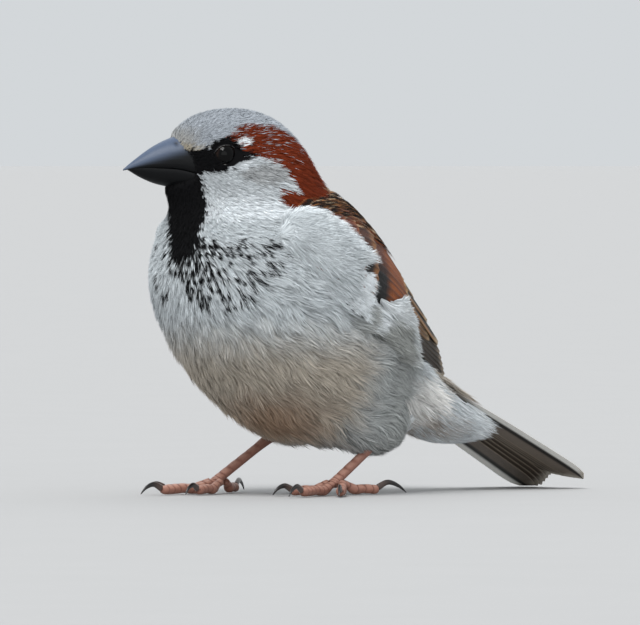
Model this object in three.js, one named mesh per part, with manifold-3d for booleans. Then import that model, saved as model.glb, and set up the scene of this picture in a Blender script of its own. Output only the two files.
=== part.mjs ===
// A male house sparrow at life size, standing plump and at ease with its head turned a little to its right.
// Millimetres, +Z up. The bird faces -Y, so its left side is +X. It is built standing on z = 0,
// and the whole group is then moved so that the origin is under the middle of its bounding box.
import * as THREE from "three";
import { mergeVertices } from "three/addons/utils/BufferGeometryUtils.js";
import Module from "manifold-3d";

const wasm = await Module();
wasm.setup();

// ---------- driving dimensions ----------
const GAP = 0.3; // clear space between neighbouring pieces
const BLEND = 1.6; // how softly the masses of the body run into each other

const HEAD = { centre: [-1.5, -11.4, 70.5], pitch: -3, yaw: 23 }; // yaw turns to the bird's right
const CHEEK = { forward: -1, out: 4.5, drop: 5, radii: [9, 6.5, 7] };
const EYE = { forward: 5.6, out: 7.35, up: 2.0, radius: 2.75 };

// The feathered masses: centre, then radii along forward, left and dorsal, then pitch and yaw.
const TRUNK_MASSES = {
  belly: { centre: [0.6, 6.6, 31.8], radii: [24.8, 22, 21.2], pitch: 27, yaw: 0 },
  core: { centre: [0.4, -2, 38.4], radii: [25, 23, 21.4], pitch: 42, yaw: 0 },
  breast: { centre: [0, -8.3, 46], radii: [21.5, 22.5, 20.5], pitch: 50, yaw: 0 },
  mantle: { centre: [0, 4, 50.5], radii: [23.5, 18.5, 13.5], pitch: 42, yaw: 0 },
  rump: { centre: [1.3, 21.5, 30.5], radii: [19.5, 15, 11.8], pitch: 31, yaw: 4 },
  vent: { centre: [3.2, 34.5, 21.1], radii: [18.5, 9.6, 7.3], pitch: 27, yaw: 7 },
  thighLeft: { centre: [10.9, 15.5, 16], radii: [10.5, 7, 7.8], pitch: 8, yaw: 0 },
  thighRight: { centre: [-9.5, 13, 18.6], radii: [8.5, 7.6, 7.6], pitch: 10, yaw: 0 },
  neck: { centre: [-0.8, -6.6, 60.3], radii: [13.4, 14, 14.3], pitch: 60, yaw: 10 },
};
// The head's masses, placed forward, left and up from the head's centre.
const HEAD_MASSES = {
  cranium: { at: [0, 0, 0.3], radii: [13.4, 10.1, 11], tip: 0, turn: 0 },
  forehead: { at: [6.8, 0, 3], radii: [8.4, 7, 7], tip: -10, turn: 0 },
  nape: { at: [-6, 0, -5], radii: [9.8, 10.3, 10.3], tip: 40, turn: -4 },
  cheekLeft: { at: [CHEEK.forward, CHEEK.out, -CHEEK.drop], radii: CHEEK.radii, tip: 0, turn: 0 },
  cheekRight: { at: [CHEEK.forward, -CHEEK.out, -CHEEK.drop], radii: CHEEK.radii, tip: 0, turn: 0 },
  face: { at: [9, 0, -2], radii: [7.5, 5.5, 6.5], tip: 0, turn: 0 },
  throat: { at: [6.5, 0, -11], radii: [9, 6.5, 7], tip: 60, turn: 0 },
};

// The line that the body's rings are strung on, from under the tail to the crown: place, pitch and yaw.
const SPINE = [
  { at: [5.2, 52, 12.4], pitch: 27, yaw: 7 },
  { at: [3.2, 38, 20], pitch: 27, yaw: 6 },
  { at: [1.2, 22, 30.5], pitch: 30, yaw: 3 },
  { at: [0, 5, 39], pitch: 36, yaw: 0 },
  { at: [-0.2, -4, 48], pitch: 50, yaw: 2 },
  { at: [-0.8, -8, 57], pitch: 66, yaw: 8 },
  { at: [-1.2, -10, 65], pitch: 80, yaw: 16 },
  { at: [-1.5, -11.4, 72], pitch: 88, yaw: 23 },
  { at: [-1.6, -11.8, 82.9], pitch: 92, yaw: 23 },
];
// Where the body is parted along that line, as shares of its length.
const PARTING = { rump: 0.15, neck: 0.6, head: 0.745, width: 0.0026 };
const BODY_SIDES = 24;

// Each leg: where the toes meet, the shank's slope in degrees, how far it leans in towards the ankle,
// and how many degrees outward each toe points.
const SHANK = {
  length: 19.5,
  radius: [[0, 0.9], [0.1, 1.35], [0.22, 1.15], [0.5, 1.0], [0.85, 1.2], [0.95, 1.55], [1, 1.0]],
};
const LEGS = {
  left: {
    joint: [12.5, 5.3, 3.3],
    side: 1,
    slope: 32,
    lean: 0.8,
    outward: { hind: 20, inner: -8, middle: 16, outer: 42 },
  },
  right: {
    joint: [-12.5, -5.3, 3.3],
    side: -1,
    slope: 32,
    lean: 2,
    outward: { hind: 30, inner: -15, middle: 6, outer: 27 },
  },
};
const TOES = {
  hind: { length: 8.6, claw: 6.6, offset: 0 },
  inner: { length: 9.8, claw: 4.8, offset: -1.75 },
  middle: { length: 14.8, claw: 5.4, offset: 0 },
  outer: { length: 10.4, claw: 4.8, offset: 1.75 },
};
// The toe's radius along it, and the height of its middle line over the floor.
const TOE_RADIUS = [[0, 0.78], [0.3, 1.0], [0.42, 1.12], [0.6, 0.92], [0.78, 1.06], [1, 0.85]];
const TOE_HEIGHT = [[0, 2.5], [0.18, 1.75], [0.4, 0.92], [0.62, 1.17], [0.82, 0.92], [1, 1.07]];

// The left folded wing, from the bend to the tip: its edge along the back, its edge along the flank,
// and how far its outer face bulges beyond a straight line between them. The right wing mirrors it.
const WING = {
  upperEdge: [[19.2, -15.5, 58], [17.8, -6.5, 60.9], [15.5, 4.5, 60.8], [12.5, 14.5, 56.5],
    [9.5, 23, 50], [7, 31, 43.5], [5.8, 38.5, 35.5], [6.5, 43.5, 27.5]],
  lowerEdge: [[20.4, -16.5, 54.6], [23.6, -8, 47.8], [24.8, 1, 43], [23.6, 10.5, 38],
    [20.8, 19.5, 33], [17.2, 28.5, 28.8], [12.6, 37, 25.8], [8.2, 43.8, 24.4]],
  bulge: [[0, 0.6], [0.15, 2.6], [0.5, 2.2], [0.85, 1.6], [1, 0.3]],
  thickness: [[0, 1.8], [0.12, 3.2], [0.4, 3.2], [0.7, 2.2], [1, 1.1]],
  covertsEnd: 0.46,
  tertialsEnd: 0.88,
  split: 0.53, // share of the width taken by the tertials and secondaries
  lean: 0.035, // how far the pair follows the tail's swing to the left, per millimetre behind the hips
};

const TAIL = {
  root: [2.6, 28.4, 27.3],
  yaw: 7,
  pitch: 27.7,
  roll: 10.5,
  length: 56.5,
  notch: 3.6,
  rootHalfWidth: 5.6,
  tipHalfWidth: 10.3,
  rootThick: 2.6,
  tipThick: 1.0,
  dish: 0.012,
};

// Bill profile in the head's frame: heights above the head's centre at each distance forward.
const BILL = {
  root: 9.5,
  tip: 25.7,
  ridge: [[9.5, 7], [13, 6.5], [15.2, 5.9], [19, 4.3], [22.5, 2.2], [24.6, 0.8], [25.7, 0]],
  mouth: [[9.5, -2], [11.5, -1.3], [14, -0.5], [18, 0], [23, 0.15], [25.7, -0.2]],
  keel: [[9.5, -5.2], [15.5, -4.3], [19, -3.3], [22.5, -1.6], [24.7, -0.15]],
  halfWidth: [[9.5, 5], [13, 4.6], [15, 3.85], [18, 2.85], [21.5, 1.65], [24.5, 0.55], [25.7, 0.12]],
  lowerTip: 24.5,
};

const COLOURS = {
  crown: 0x9aa1a6,
  breast: 0xd9d8d3,
  rump: 0xb3aea6,
  wing: 0x6f4a2d,
  tail: 0x4a4038,
  horn: 0x23252c,
  leg: 0xa8705a,
  eye: 0x0c0a0a,
};

// ---------- helpers ----------
const radians = THREE.MathUtils.degToRad;
const vector = (a) => new THREE.Vector3(...a);

/** Forward, left and dorsal directions of something pitched up and yawed to its right. */
function axes(pitch, yaw) {
  const p = radians(pitch);
  const y = radians(yaw);
  const forward = new THREE.Vector3(-Math.sin(y) * Math.cos(p), -Math.cos(y) * Math.cos(p), Math.sin(p));
  const left = new THREE.Vector3(Math.cos(y), -Math.sin(y), 0);
  return { forward, left, dorsal: new THREE.Vector3().crossVectors(forward, left) };
}

const HEAD_AXES = axes(HEAD.pitch, HEAD.yaw);

/** A point given forward, left and up from the head's centre. */
function inHead(forward, left, up) {
  return vector(HEAD.centre)
    .addScaledVector(HEAD_AXES.forward, forward)
    .addScaledVector(HEAD_AXES.left, left)
    .addScaledVector(HEAD_AXES.dorsal, up);
}

/** A line through [x, y] pairs, eased between them, read at x. */
function along(pairs, x) {
  let i = 0;
  while (i < pairs.length - 2 && x > pairs[i + 1][0]) i += 1;
  const [x0, y0] = pairs[i];
  const [x1, y1] = pairs[i + 1];
  return THREE.MathUtils.lerp(y0, y1, THREE.MathUtils.clamp((x - x0) / (x1 - x0), 0, 1));
}

/**
 * A closed cylinder with each vertex moved to place(t, angle, share):
 * t runs 0 to 1 along it, and share is 0 at the middle of each cap and 1 elsewhere.
 */
function carried(sides, steps, place) {
  const geometry = new THREE.CylinderGeometry(1, 1, 1, sides, steps);
  const position = geometry.getAttribute("position");
  for (let i = 0; i < position.count; i += 1) {
    const x = position.getX(i);
    const z = position.getZ(i);
    const share = Math.min(1, Math.hypot(x, z));
    const p = place(position.getY(i) + 0.5, Math.atan2(x, z), share > 0.5 ? 1 : 0);
    position.setXYZ(i, p.x, p.y, p.z);
  }
  return geometry;
}

/** A closed geometry as a manifold-3d solid that faces outwards, whichever way round it was carried. */
function solid(geometry) {
  const bare = geometry.clone();
  bare.deleteAttribute("normal");
  bare.deleteAttribute("uv");
  const merged = mergeVertices(bare, 1e-3);
  const build = (triVerts) =>
    new wasm.Manifold(
      new wasm.Mesh({ numProp: 3, vertProperties: merged.getAttribute("position").array, triVerts }),
    );
  const triangles = new Uint32Array(merged.index.array);
  const made = build(triangles);
  return made.volume() > 0 ? made : build(triangles.slice().reverse());
}

/** A sine or cosine bent towards a box's outline: the lower the power, the squarer the section. */
const boxed = (value, power) => (Math.abs(value) < 1e-6 ? 0 : Math.sign(value) * Math.abs(value) ** power);

/** The largest body of a solid, so that a cut leaves no loose slivers. */
function mainBody(shape) {
  return shape.decompose().reduce((a, b) => (b.volume() > a.volume() ? b : a));
}

function geometryOf(shape) {
  const mesh = shape.getMesh();
  const geometry = new THREE.BufferGeometry();
  geometry.setAttribute("position", new THREE.BufferAttribute(mesh.vertProperties, 3));
  geometry.setIndex(new THREE.BufferAttribute(mesh.triVerts, 1));
  const flat = geometry.toNonIndexed();
  flat.computeVertexNormals();
  return flat;
}

/** Cuts a solid by several others. */
const cutBy = (shape, tools) => tools.reduce((left, tool) => left.subtract(tool), shape);

// ---------- the body's surface ----------
function prepared({ centre, radii, pitch, yaw }) {
  const frame = axes(pitch, yaw);
  return { centre, radii, frame: [frame.forward, frame.left, frame.dorsal] };
}

const MASSES = [
  ...Object.values(TRUNK_MASSES).map(prepared),
  ...Object.values(HEAD_MASSES).map(({ at, radii, tip, turn }) =>
    prepared({ centre: inHead(...at).toArray(), radii, pitch: HEAD.pitch + tip, yaw: HEAD.yaw + turn }),
  ),
];

/** Rough distance of a point from the blended masses, below zero inside them. */
function distance(point) {
  let sum = 0;
  const offset = new THREE.Vector3();
  for (const { centre, radii, frame } of MASSES) {
    offset.set(point.x - centre[0], point.y - centre[1], point.z - centre[2]);
    let k0 = 0;
    let k1 = 0;
    for (let i = 0; i < 3; i += 1) {
      const q = offset.dot(frame[i]) / radii[i];
      k0 += q * q;
      k1 += (q / radii[i]) ** 2;
    }
    k0 = Math.sqrt(k0) + 1e-9;
    k1 = Math.sqrt(k1) + 1e-9;
    sum += Math.exp(-THREE.MathUtils.clamp((k0 * (k0 - 1)) / k1, -60, 60) / BLEND);
  }
  return -BLEND * Math.log(sum);
}

const spinePlace = new THREE.CatmullRomCurve3(SPINE.map((s) => vector(s.at)), false, "catmullrom", 0.5);
const spineTurn = new THREE.CatmullRomCurve3(
  SPINE.map((s) => new THREE.Vector3(s.pitch, s.yaw, 0)),
  false,
  "catmullrom",
  0.5,
);

/** Where a ray from inside the body leaves it. */
function leaves(start, direction) {
  const STEP = 0.8;
  const REACH = 42;
  const point = new THREE.Vector3();
  const at = (t) => distance(point.copy(start).addScaledVector(direction, t));
  let high = 0;
  while (high < REACH && at(high) <= 0) high += STEP;
  let low = Math.max(0, high - STEP);
  for (let i = 0; i < 14; i += 1) {
    const middle = (low + high) / 2;
    if (at(middle) <= 0) low = middle;
    else high = middle;
  }
  return start.clone().addScaledVector(direction, (low + high) / 2);
}

/** The body between two shares of the spine, as a closed solid with flat ends. */
function bodySolid(from, to, rings) {
  const closesAtRoot = from === 0;
  const closesAtCrown = to === 1;
  return solid(
    carried(BODY_SIDES, rings, (t, angle, share) => {
      let even = t;
      if (closesAtRoot) even = 1 - Math.cos((t * Math.PI) / 2);
      if (closesAtCrown) even = Math.sin((t * Math.PI) / 2);
      const s = THREE.MathUtils.lerp(from, to, even * 0.75 + t * 0.25);
      const start = spinePlace.getPoint(s);
      const turn = spineTurn.getPoint(s);
      const { left, dorsal } = axes(turn.x, turn.y);
      if (share === 0) return start;
      const out = dorsal.clone().multiplyScalar(Math.cos(angle)).addScaledVector(left, -Math.sin(angle));
      return leaves(start, out);
    }),
  );
}

// ---------- wings ----------
const wingUpper = new THREE.CatmullRomCurve3(WING.upperEdge.map(vector), false, "centripetal");
const wingLower = new THREE.CatmullRomCurve3(WING.lowerEdge.map(vector), false, "centripetal");

/** A point on a folded wing's outer face: s runs from bend to tip, w from the back's edge to the flank's. */
function onWing(s, w, lift, side) {
  const upper = wingUpper.getPoint(s);
  const lower = wingLower.getPoint(s);
  const chord = lower.clone().sub(upper);
  const width = chord.length();
  chord.divideScalar(width);
  const run = wingUpper.getTangent(s).add(wingLower.getTangent(s)).normalize();
  const out = new THREE.Vector3().crossVectors(run, chord).negate().normalize();
  if (out.x < 0) out.negate();
  const bulge = along(WING.bulge, s);
  const tilt = (4 * bulge * (2 * w - 1)) / width;
  const point = upper.lerp(lower, w).addScaledVector(out, bulge * 4 * w * (1 - w));
  point.addScaledVector(out.addScaledVector(chord, tilt).normalize(), lift);
  point.x = side * point.x + (side < 0 ? 2 : 0) * WING.lean * Math.max(0, point.y);
  return point;
}

/** One plate of a folded wing, between two shares of its length and two shares of its width. */
function wingPlate(side, [from, to], [top, bottom], grow, roundness, corner = 0.8) {
  const steps = Math.max(5, Math.round((to - from) * 14));
  const margin = grow / 75;
  return solid(
    carried(12, steps, (t, angle, share) => {
      const eased = roundness > 0 ? Math.sin((t * Math.PI) / 2) : t;
      const s = THREE.MathUtils.clamp(THREE.MathUtils.lerp(from - margin, to + margin, eased), 0, 1);
      const beyond = Math.max(0, t - 0.5) / 0.5;
      const narrow = roundness > 0 ? Math.max(0.12, (1 - beyond ** 2.4) ** 0.5) : 1;
      const width = wingUpper.getPoint(s).distanceTo(wingLower.getPoint(s));
      const middle = THREE.MathUtils.lerp(top, bottom, 0.5 + (roundness * (1 - narrow)) / 2);
      const half = ((bottom - top) / 2) * narrow + grow / width;
      const thick = along(WING.thickness, s) / 2;
      const across = middle + half * boxed(Math.sin(-side * angle), corner) * share;
      const lift = (thick + grow) * boxed(Math.cos(angle), corner) * share - thick;
      return onWing(s, across, lift, side);
    }),
  );
}

/** The three parts of a folded wing, each grown by the same amount. */
function wingParts(side, grow) {
  const { covertsEnd, tertialsEnd, split } = WING;
  const half = GAP / 2 / 75;
  return {
    coverts: wingPlate(side, [0.002, covertsEnd - half], [0, 1], grow, 0),
    secondaries: wingPlate(side, [covertsEnd + half, tertialsEnd], [0, split - 0.012], grow, 0.4),
    primaries: wingPlate(side, [covertsEnd + half, 0.998], [split + 0.012, 1], grow, 0),
  };
}

// ---------- tail ----------
/** Half of the tail fan: a thin plate from the middle line outwards, notched at its end by that line. */
function tailHalf(side, grow) {
  const { forward, left, dorsal } = axes(TAIL.pitch, TAIL.yaw);
  const lean = radians(TAIL.roll);
  const out = left.clone().multiplyScalar(Math.cos(lean)).addScaledVector(dorsal, Math.sin(lean));
  const up = dorsal.clone().multiplyScalar(Math.cos(lean)).addScaledVector(left, -Math.sin(lean));
  return solid(
    carried(12, 9, (t, angle, share) => {
      const across = 0.5 + 0.5 * boxed(Math.sin(-side * angle), 0.6) * share;
      const halfWidth = THREE.MathUtils.lerp(TAIL.rootHalfWidth, TAIL.tipHalfWidth, t ** 0.7);
      const thick = THREE.MathUtils.lerp(TAIL.rootThick, TAIL.tipThick, Math.min(1, t * 1.6));
      const corner = 4.2 * (Math.max(0, across - 0.7) / 0.3) ** 1.6;
      const reach = TAIL.length - TAIL.notch * (1 - across) ** 1.4 - corner;
      const width = GAP / 2 - grow + across * (halfWidth - GAP / 2 + 2 * grow);
      const lift = boxed(Math.cos(angle), 0.6) * (thick / 2 + grow) * share;
      return vector(TAIL.root)
        .addScaledVector(forward, -(t * (reach + 2 * grow) - grow))
        .addScaledVector(out, side * width)
        .addScaledVector(up, lift - TAIL.dish * width * width * t);
    }),
  );
}

// ---------- bill and eyes ----------
function billHalf(upperHalf, grow) {
  const tip = upperHalf ? BILL.tip : BILL.lowerTip;
  return solid(
    carried(12, 9, (t, angle, share) => {
      const f = THREE.MathUtils.lerp(BILL.root - grow, tip, Math.sin((t * Math.PI) / 2)) + grow * t;
      const mouth = along(BILL.mouth, f) + (upperHalf ? GAP / 2 - grow : -GAP / 2 + grow);
      const edge = upperHalf ? along(BILL.ridge, f) + grow : along(BILL.keel, f) - grow;
      const width = (along(BILL.halfWidth, f) + grow) * (upperHalf ? 1 : 0.93);
      const rise = Math.cos(angle);
      const outward = upperHalf ? Math.max(0, rise) : Math.max(0, -rise);
      const height = Math.abs(edge - mouth) < 0.12 ? mouth + (upperHalf ? 0.12 : -0.12) : edge;
      const left = -Math.sin(angle) * width * share;
      return inHead(f, left, THREE.MathUtils.lerp(mouth, height, outward ** 0.9 * share));
    }),
  );
}

function eyeball(side, radius) {
  const ball = new THREE.SphereGeometry(radius, 12, 9);
  const p = inHead(EYE.forward, side * EYE.out, EYE.up);
  ball.translate(p.x, p.y, p.z);
  return solid(ball);
}

// ---------- legs ----------
/** A tube along a curve with a radius that changes along it. */
function tube(curve, radiusAt, sides, steps, squash = 1) {
  const up = new THREE.Vector3(0, 0, 1);
  return solid(
    carried(sides, steps, (t, angle, share) => {
      const p = curve.getPoint(t);
      const tangent = curve.getTangent(t);
      const acrossWay = new THREE.Vector3().crossVectors(tangent, up).normalize();
      const upWay = new THREE.Vector3().crossVectors(acrossWay, tangent);
      const r = radiusAt(t) * share;
      return p
        .addScaledVector(upWay, Math.cos(angle) * r)
        .addScaledVector(acrossWay, Math.sin(angle) * r * squash);
    }),
  );
}

const smooth = (points) => new THREE.CatmullRomCurve3(points, false, "centripetal");

/** The directions of a leg's shank and toes. */
function legFrame(leg) {
  const slope = radians(leg.slope);
  const joint = vector(leg.joint);
  const back = Math.cos(slope) * SHANK.length;
  const rise = Math.sin(slope) * SHANK.length;
  const ankle = joint.clone().add(new THREE.Vector3(-leg.side * leg.lean, back, rise));
  const toward = (outward) => {
    const a = radians(outward);
    return new THREE.Vector3(leg.side * Math.sin(a), -Math.cos(a), 0);
  };
  return { joint, ankle, toward };
}

function shank(leg, grow) {
  const { joint, ankle } = legFrame(leg);
  const middle = joint.clone().lerp(ankle, 0.5);
  const sole = joint.clone().add(new THREE.Vector3(0, -1.5, -1.25));
  return tube(smooth([sole, joint, middle, ankle]), (t) => grow + along(SHANK.radius, t), 9, 8, 1.1);
}

/** One toe, lying on the floor with its root beside the others. */
function toe(leg, name, grow) {
  const { joint, toward } = legFrame(leg);
  const { length, offset } = TOES[name];
  const backward = name === "hind";
  const { outward } = leg;
  const heading = backward ? toward(-outward.hind).multiplyScalar(-1) : toward(outward[name]);
  const root = joint
    .clone()
    .addScaledVector(toward(outward.middle), backward ? -1.4 : 1.2)
    .addScaledVector(toward(outward.middle + 90), offset);
  root.z = 2.5;
  const end = root.clone().addScaledVector(heading, length);
  const at = (share, z) => {
    const p = root.clone().lerp(end, share);
    p.z = z;
    return p;
  };
  const curve = smooth(TOE_HEIGHT.map(([share, z]) => at(share, z)));
  const shape = tube(curve, (t) => grow + along(TOE_RADIUS, t), 8, 7);
  return { shape, end: at(1, 1.22), heading };
}

/** A claw curving from a toe's end down to the floor. */
function claw(end, heading, length, grow) {
  const rise = length * 0.2;
  const at = (share, z) => {
    const p = end.clone().addScaledVector(heading, length * share + GAP + 0.55);
    p.z = z;
    return p;
  };
  const curve = smooth([
    at(-0.06, end.z + 0.1),
    at(0.3, end.z + rise),
    at(0.68, end.z + rise * 0.4),
    at(0.93, 0.16),
  ]);
  return tube(curve, (t) => grow + THREE.MathUtils.lerp(0.82, 0.14, t ** 0.8), 6, 5, 0.72);
}

/** Keeps only what is above the floor, which leaves small flats under the toes. */
const floorBlock = (() => {
  const block = new THREE.BoxGeometry(300, 300, 20);
  block.translate(0, 0, -10);
  return solid(block);
})();

// ---------- assembly ----------
const bird = new THREE.Group();

function add(name, shape, colour, roughness = 0.85) {
  const material = new THREE.MeshStandardMaterial({ color: colour, roughness, metalness: 0 });
  const mesh = new THREE.Mesh(geometryOf(mainBody(shape)), material);
  mesh.name = name;
  bird.add(mesh);
}

const SIDES_OF_BIRD = { left: 1, right: -1 };
const wingTools = Object.values(SIDES_OF_BIRD).map((side) =>
  wingPlate(side, [0.002, 0.998], [0, 1], GAP, 0, 0.35),
);
const tailTools = Object.values(SIDES_OF_BIRD).map((side) => tailHalf(side, GAP));
const legTools = Object.values(LEGS).map((leg) => shank(leg, GAP));
const billTools = [billHalf(true, GAP), billHalf(false, GAP)];
const eyeTools = Object.values(SIDES_OF_BIRD).map((side) => eyeball(side, EYE.radius + GAP));

/** The feathered thigh of a leg is the part of the body near its ankle. */
function thighRegion(leg, grow) {
  const { ankle } = legFrame(leg);
  const ball = new THREE.SphereGeometry(1, 12, 8);
  ball.scale(7.2 + grow, 9 + grow, 7.5 + grow);
  ball.translate(ankle.x, ankle.y - 3, ankle.z + 0.5);
  return solid(ball);
}

const { rump, neck, head, width } = PARTING;
const trunkWhole = bodySolid(rump + width, neck - width, 12);
const trunkSolid = cutBy(trunkWhole, [...wingTools, ...tailTools, ...legTools]);
const rumpSolid = cutBy(bodySolid(0, rump, 6), [...wingTools, ...tailTools]);
const thighTools = Object.values(LEGS).map((leg) => thighRegion(leg, GAP));

add("head", cutBy(bodySolid(head + width, 1, 11), [...billTools, ...eyeTools]), COLOURS.crown);
add("neck", cutBy(bodySolid(neck, head, 4), [...wingTools, ...billTools]), COLOURS.breast);
add("trunk", cutBy(trunkSolid, thighTools), COLOURS.breast);
add("rump", rumpSolid, COLOURS.rump);
add("upper_bill", billHalf(true, 0), COLOURS.horn, 0.35);
add("lower_bill", billHalf(false, 0), COLOURS.horn, 0.35);

for (const [name, side] of Object.entries(SIDES_OF_BIRD)) {
  add(`eye_${name}`, eyeball(side, EYE.radius), COLOURS.eye, 0.05);
  const own = wingParts(side, 0);
  const grown = wingParts(side, GAP);
  add(`wing_${name}_coverts`, own.coverts, COLOURS.wing);
  add(`wing_${name}_secondaries`, cutBy(own.secondaries, [grown.coverts]), COLOURS.wing);
  add(`wing_${name}_primaries`, cutBy(own.primaries, [grown.coverts, grown.secondaries]), COLOURS.wing);
  add(`tail_${name}`, cutBy(tailHalf(side, 0), [...wingTools, floorBlock]), COLOURS.tail);
}

for (const [name, leg] of Object.entries(LEGS)) {
  const thigh = thighRegion(leg, 0).intersect(trunkSolid);
  add(`thigh_${name}`, thigh, COLOURS.breast);
  add(`tarsus_${name}`, shank(leg, 0).subtract(floorBlock), COLOURS.leg, 0.6);
  const before = [shank(leg, GAP)];
  for (const digit of Object.keys(TOES)) {
    const { shape, end, heading } = toe(leg, digit, 0);
    const grown = toe(leg, digit, GAP).shape;
    const nail = claw(end, heading, TOES[digit].claw, 0);
    add(`toe_${name}_${digit}`, cutBy(shape, [...before, floorBlock]), COLOURS.leg, 0.6);
    add(`claw_${name}_${digit}`, cutBy(nail, [grown, floorBlock]), COLOURS.horn, 0.35);
    before.push(grown);
  }
}

const bounds = new THREE.Box3().setFromObject(bird);
const middle = bounds.getCenter(new THREE.Vector3());
bird.position.set(-middle.x, -middle.y, -bounds.min.z);

export default bird;
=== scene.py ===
"""A male house sparrow at life size, standing on a plain pale floor.

One skin lies under the whole coat. Tufts of fine blades lie over it along the lie of the feathers, and
the wings and the tail are made of separate vanes. Shapes are worked out in millimetres in the bird's own
frame (it faces -Y, its left side is +X, its feet stand on z = 0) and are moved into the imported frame, in
metres, as they become meshes.
"""

import logging
from collections.abc import Callable
from dataclasses import dataclass, field
from enum import Enum

import bpy
import numpy as np
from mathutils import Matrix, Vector


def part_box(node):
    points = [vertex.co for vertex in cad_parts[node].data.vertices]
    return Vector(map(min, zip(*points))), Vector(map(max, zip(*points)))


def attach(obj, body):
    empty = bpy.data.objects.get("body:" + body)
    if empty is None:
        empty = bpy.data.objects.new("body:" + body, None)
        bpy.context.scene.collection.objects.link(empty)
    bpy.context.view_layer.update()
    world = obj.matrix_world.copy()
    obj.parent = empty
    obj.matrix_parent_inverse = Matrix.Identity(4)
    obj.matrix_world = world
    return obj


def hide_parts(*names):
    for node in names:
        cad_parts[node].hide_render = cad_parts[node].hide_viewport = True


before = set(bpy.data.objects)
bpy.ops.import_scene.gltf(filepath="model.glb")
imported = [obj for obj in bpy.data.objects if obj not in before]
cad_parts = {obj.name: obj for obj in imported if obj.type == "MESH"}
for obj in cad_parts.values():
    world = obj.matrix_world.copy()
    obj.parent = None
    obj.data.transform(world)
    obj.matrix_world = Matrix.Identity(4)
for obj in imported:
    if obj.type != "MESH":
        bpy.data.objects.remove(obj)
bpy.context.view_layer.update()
LOG = logging.getLogger("sparrow")
Array = np.ndarray
TINT = "tint"
BAKE_MAP = "OFBake"
BARB_MAP = "barbs"
# The multiples of these two steps, less their whole parts, fill a square evenly.
EVEN_STEPS = (0.7548776662, 0.5698402910)


class Slot(str, Enum):
    """Names of the material slots."""

    HEAD = "head_plumage"
    BODY = "body_plumage"
    RUMP = "rump_plumage"
    WING = "wing_feathers"
    TAIL = "tail_feathers"
    HORN = "horn"
    LEG = "leg_skin"
    EYE = "eye"


class Side(Enum):
    """The bird's two sides, as the sign of x."""

    LEFT = 1
    RIGHT = -1

    @property
    def word(self) -> str:
        """The side's name in lower case."""
        return self.name.lower()


# ---------- small mathematics ----------
def unit(v: Array) -> Array:
    """Vectors scaled to length one."""
    return v / np.maximum(np.linalg.norm(v, axis=-1, keepdims=True), 1e-12)


def ease(low: float, high: float, x: Array) -> Array:
    """Zero below low, one above high, and a smooth S between them."""
    t = np.clip((np.asarray(x, float) - low) / (high - low), 0, 1)
    return t * t * (3 - 2 * t)


def along(pairs: list, x: Array) -> Array:
    """Straight lines through pairs of numbers, read at x."""
    table = np.array(pairs, float)
    return np.interp(x, table[:, 0], table[:, 1])


def eased(pairs: list, x: Array) -> Array:
    """A smooth cubic through pairs of numbers, read at x, with slopes taken from neighbouring points."""
    table = np.array(pairs, float)
    xs, ys = table[:, 0], table[:, 1]
    slope = np.gradient(ys, xs)
    i = np.clip(np.searchsorted(xs, x) - 1, 0, len(xs) - 2)
    step = xs[i + 1] - xs[i]
    t = np.clip((x - xs[i]) / step, 0, 1)
    start = (1 + 2 * t) * (1 - t) ** 2 * ys[i] + t * (1 - t) ** 2 * step * slope[i]
    return start + t * t * (3 - 2 * t) * ys[i + 1] + t * t * (t - 1) * step * slope[i + 1]


def tone(code: str) -> Array:
    """A colour written as six hexadecimal digits, as linear red, green and blue."""
    share = np.array([int(code[i : i + 2], 16) for i in (0, 2, 4)]) / 255
    return np.where(share <= 0.04045, share / 12.92, ((share + 0.055) / 1.055) ** 2.4)


def mix(a: Array, b: Array, share: Array) -> Array:
    """Colour a turned into colour b by a share with one axis fewer. Either may be one colour for all."""
    return a + (b - a) * np.asarray(share)[..., None]


def chance(row: Array, column: Array, draw: int) -> Array:
    """A share from 0 to 1 for each cell of a net and each draw: what a large sine has after its point."""
    return np.modf(np.abs(np.sin(row * 12.9898 + column * 78.233 + draw * 37.719) * 43758.5453))[0]


def axes(pitch: float, yaw: float) -> Array:
    """Forward, left and dorsal directions of something pitched up and yawed to its right, in degrees."""
    p, y = np.radians(pitch), np.radians(yaw)
    forward = np.array([-np.sin(y) * np.cos(p), -np.cos(y) * np.cos(p), np.sin(p)])
    left = np.array([np.cos(y), -np.sin(y), 0.0])
    return np.array([forward, left, np.cross(forward, left)])


@dataclass(frozen=True)
class Curve:
    """A smooth line through points, each stretch between two of them taking an equal share of 0 to 1."""

    points: tuple

    def at(self, t: Array) -> Array:
        """Places on the line: a cubic through each pair of points, heading as their neighbours do.

        Args:
            t: shares of the line, in an array of any shape.

        Returns:
            The places, with one more axis than t.
        """
        p = np.array(self.points, float)
        ends = np.concatenate([[2 * p[0] - p[1]], p, [2 * p[-1] - p[-2]]])
        x = np.clip(np.asarray(t, float), 0, 1) * (len(p) - 1)
        i = np.minimum(x.astype(int), len(p) - 2)
        f = (x - i)[..., None]
        a, b, c, d = ends[i], ends[i + 1], ends[i + 2], ends[i + 3]
        return b + f / 2 * (c - a + f * (2 * a - 5 * b + 4 * c - d + f * (3 * (b - c) + d - a)))

    def heading(self, t: Array) -> Array:
        """Directions of the line, from two places close together."""
        step = 1e-3
        t = np.asarray(t, float)
        return unit(self.at(np.minimum(t + step, 1)) - self.at(np.maximum(t - step, 0)))


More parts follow.
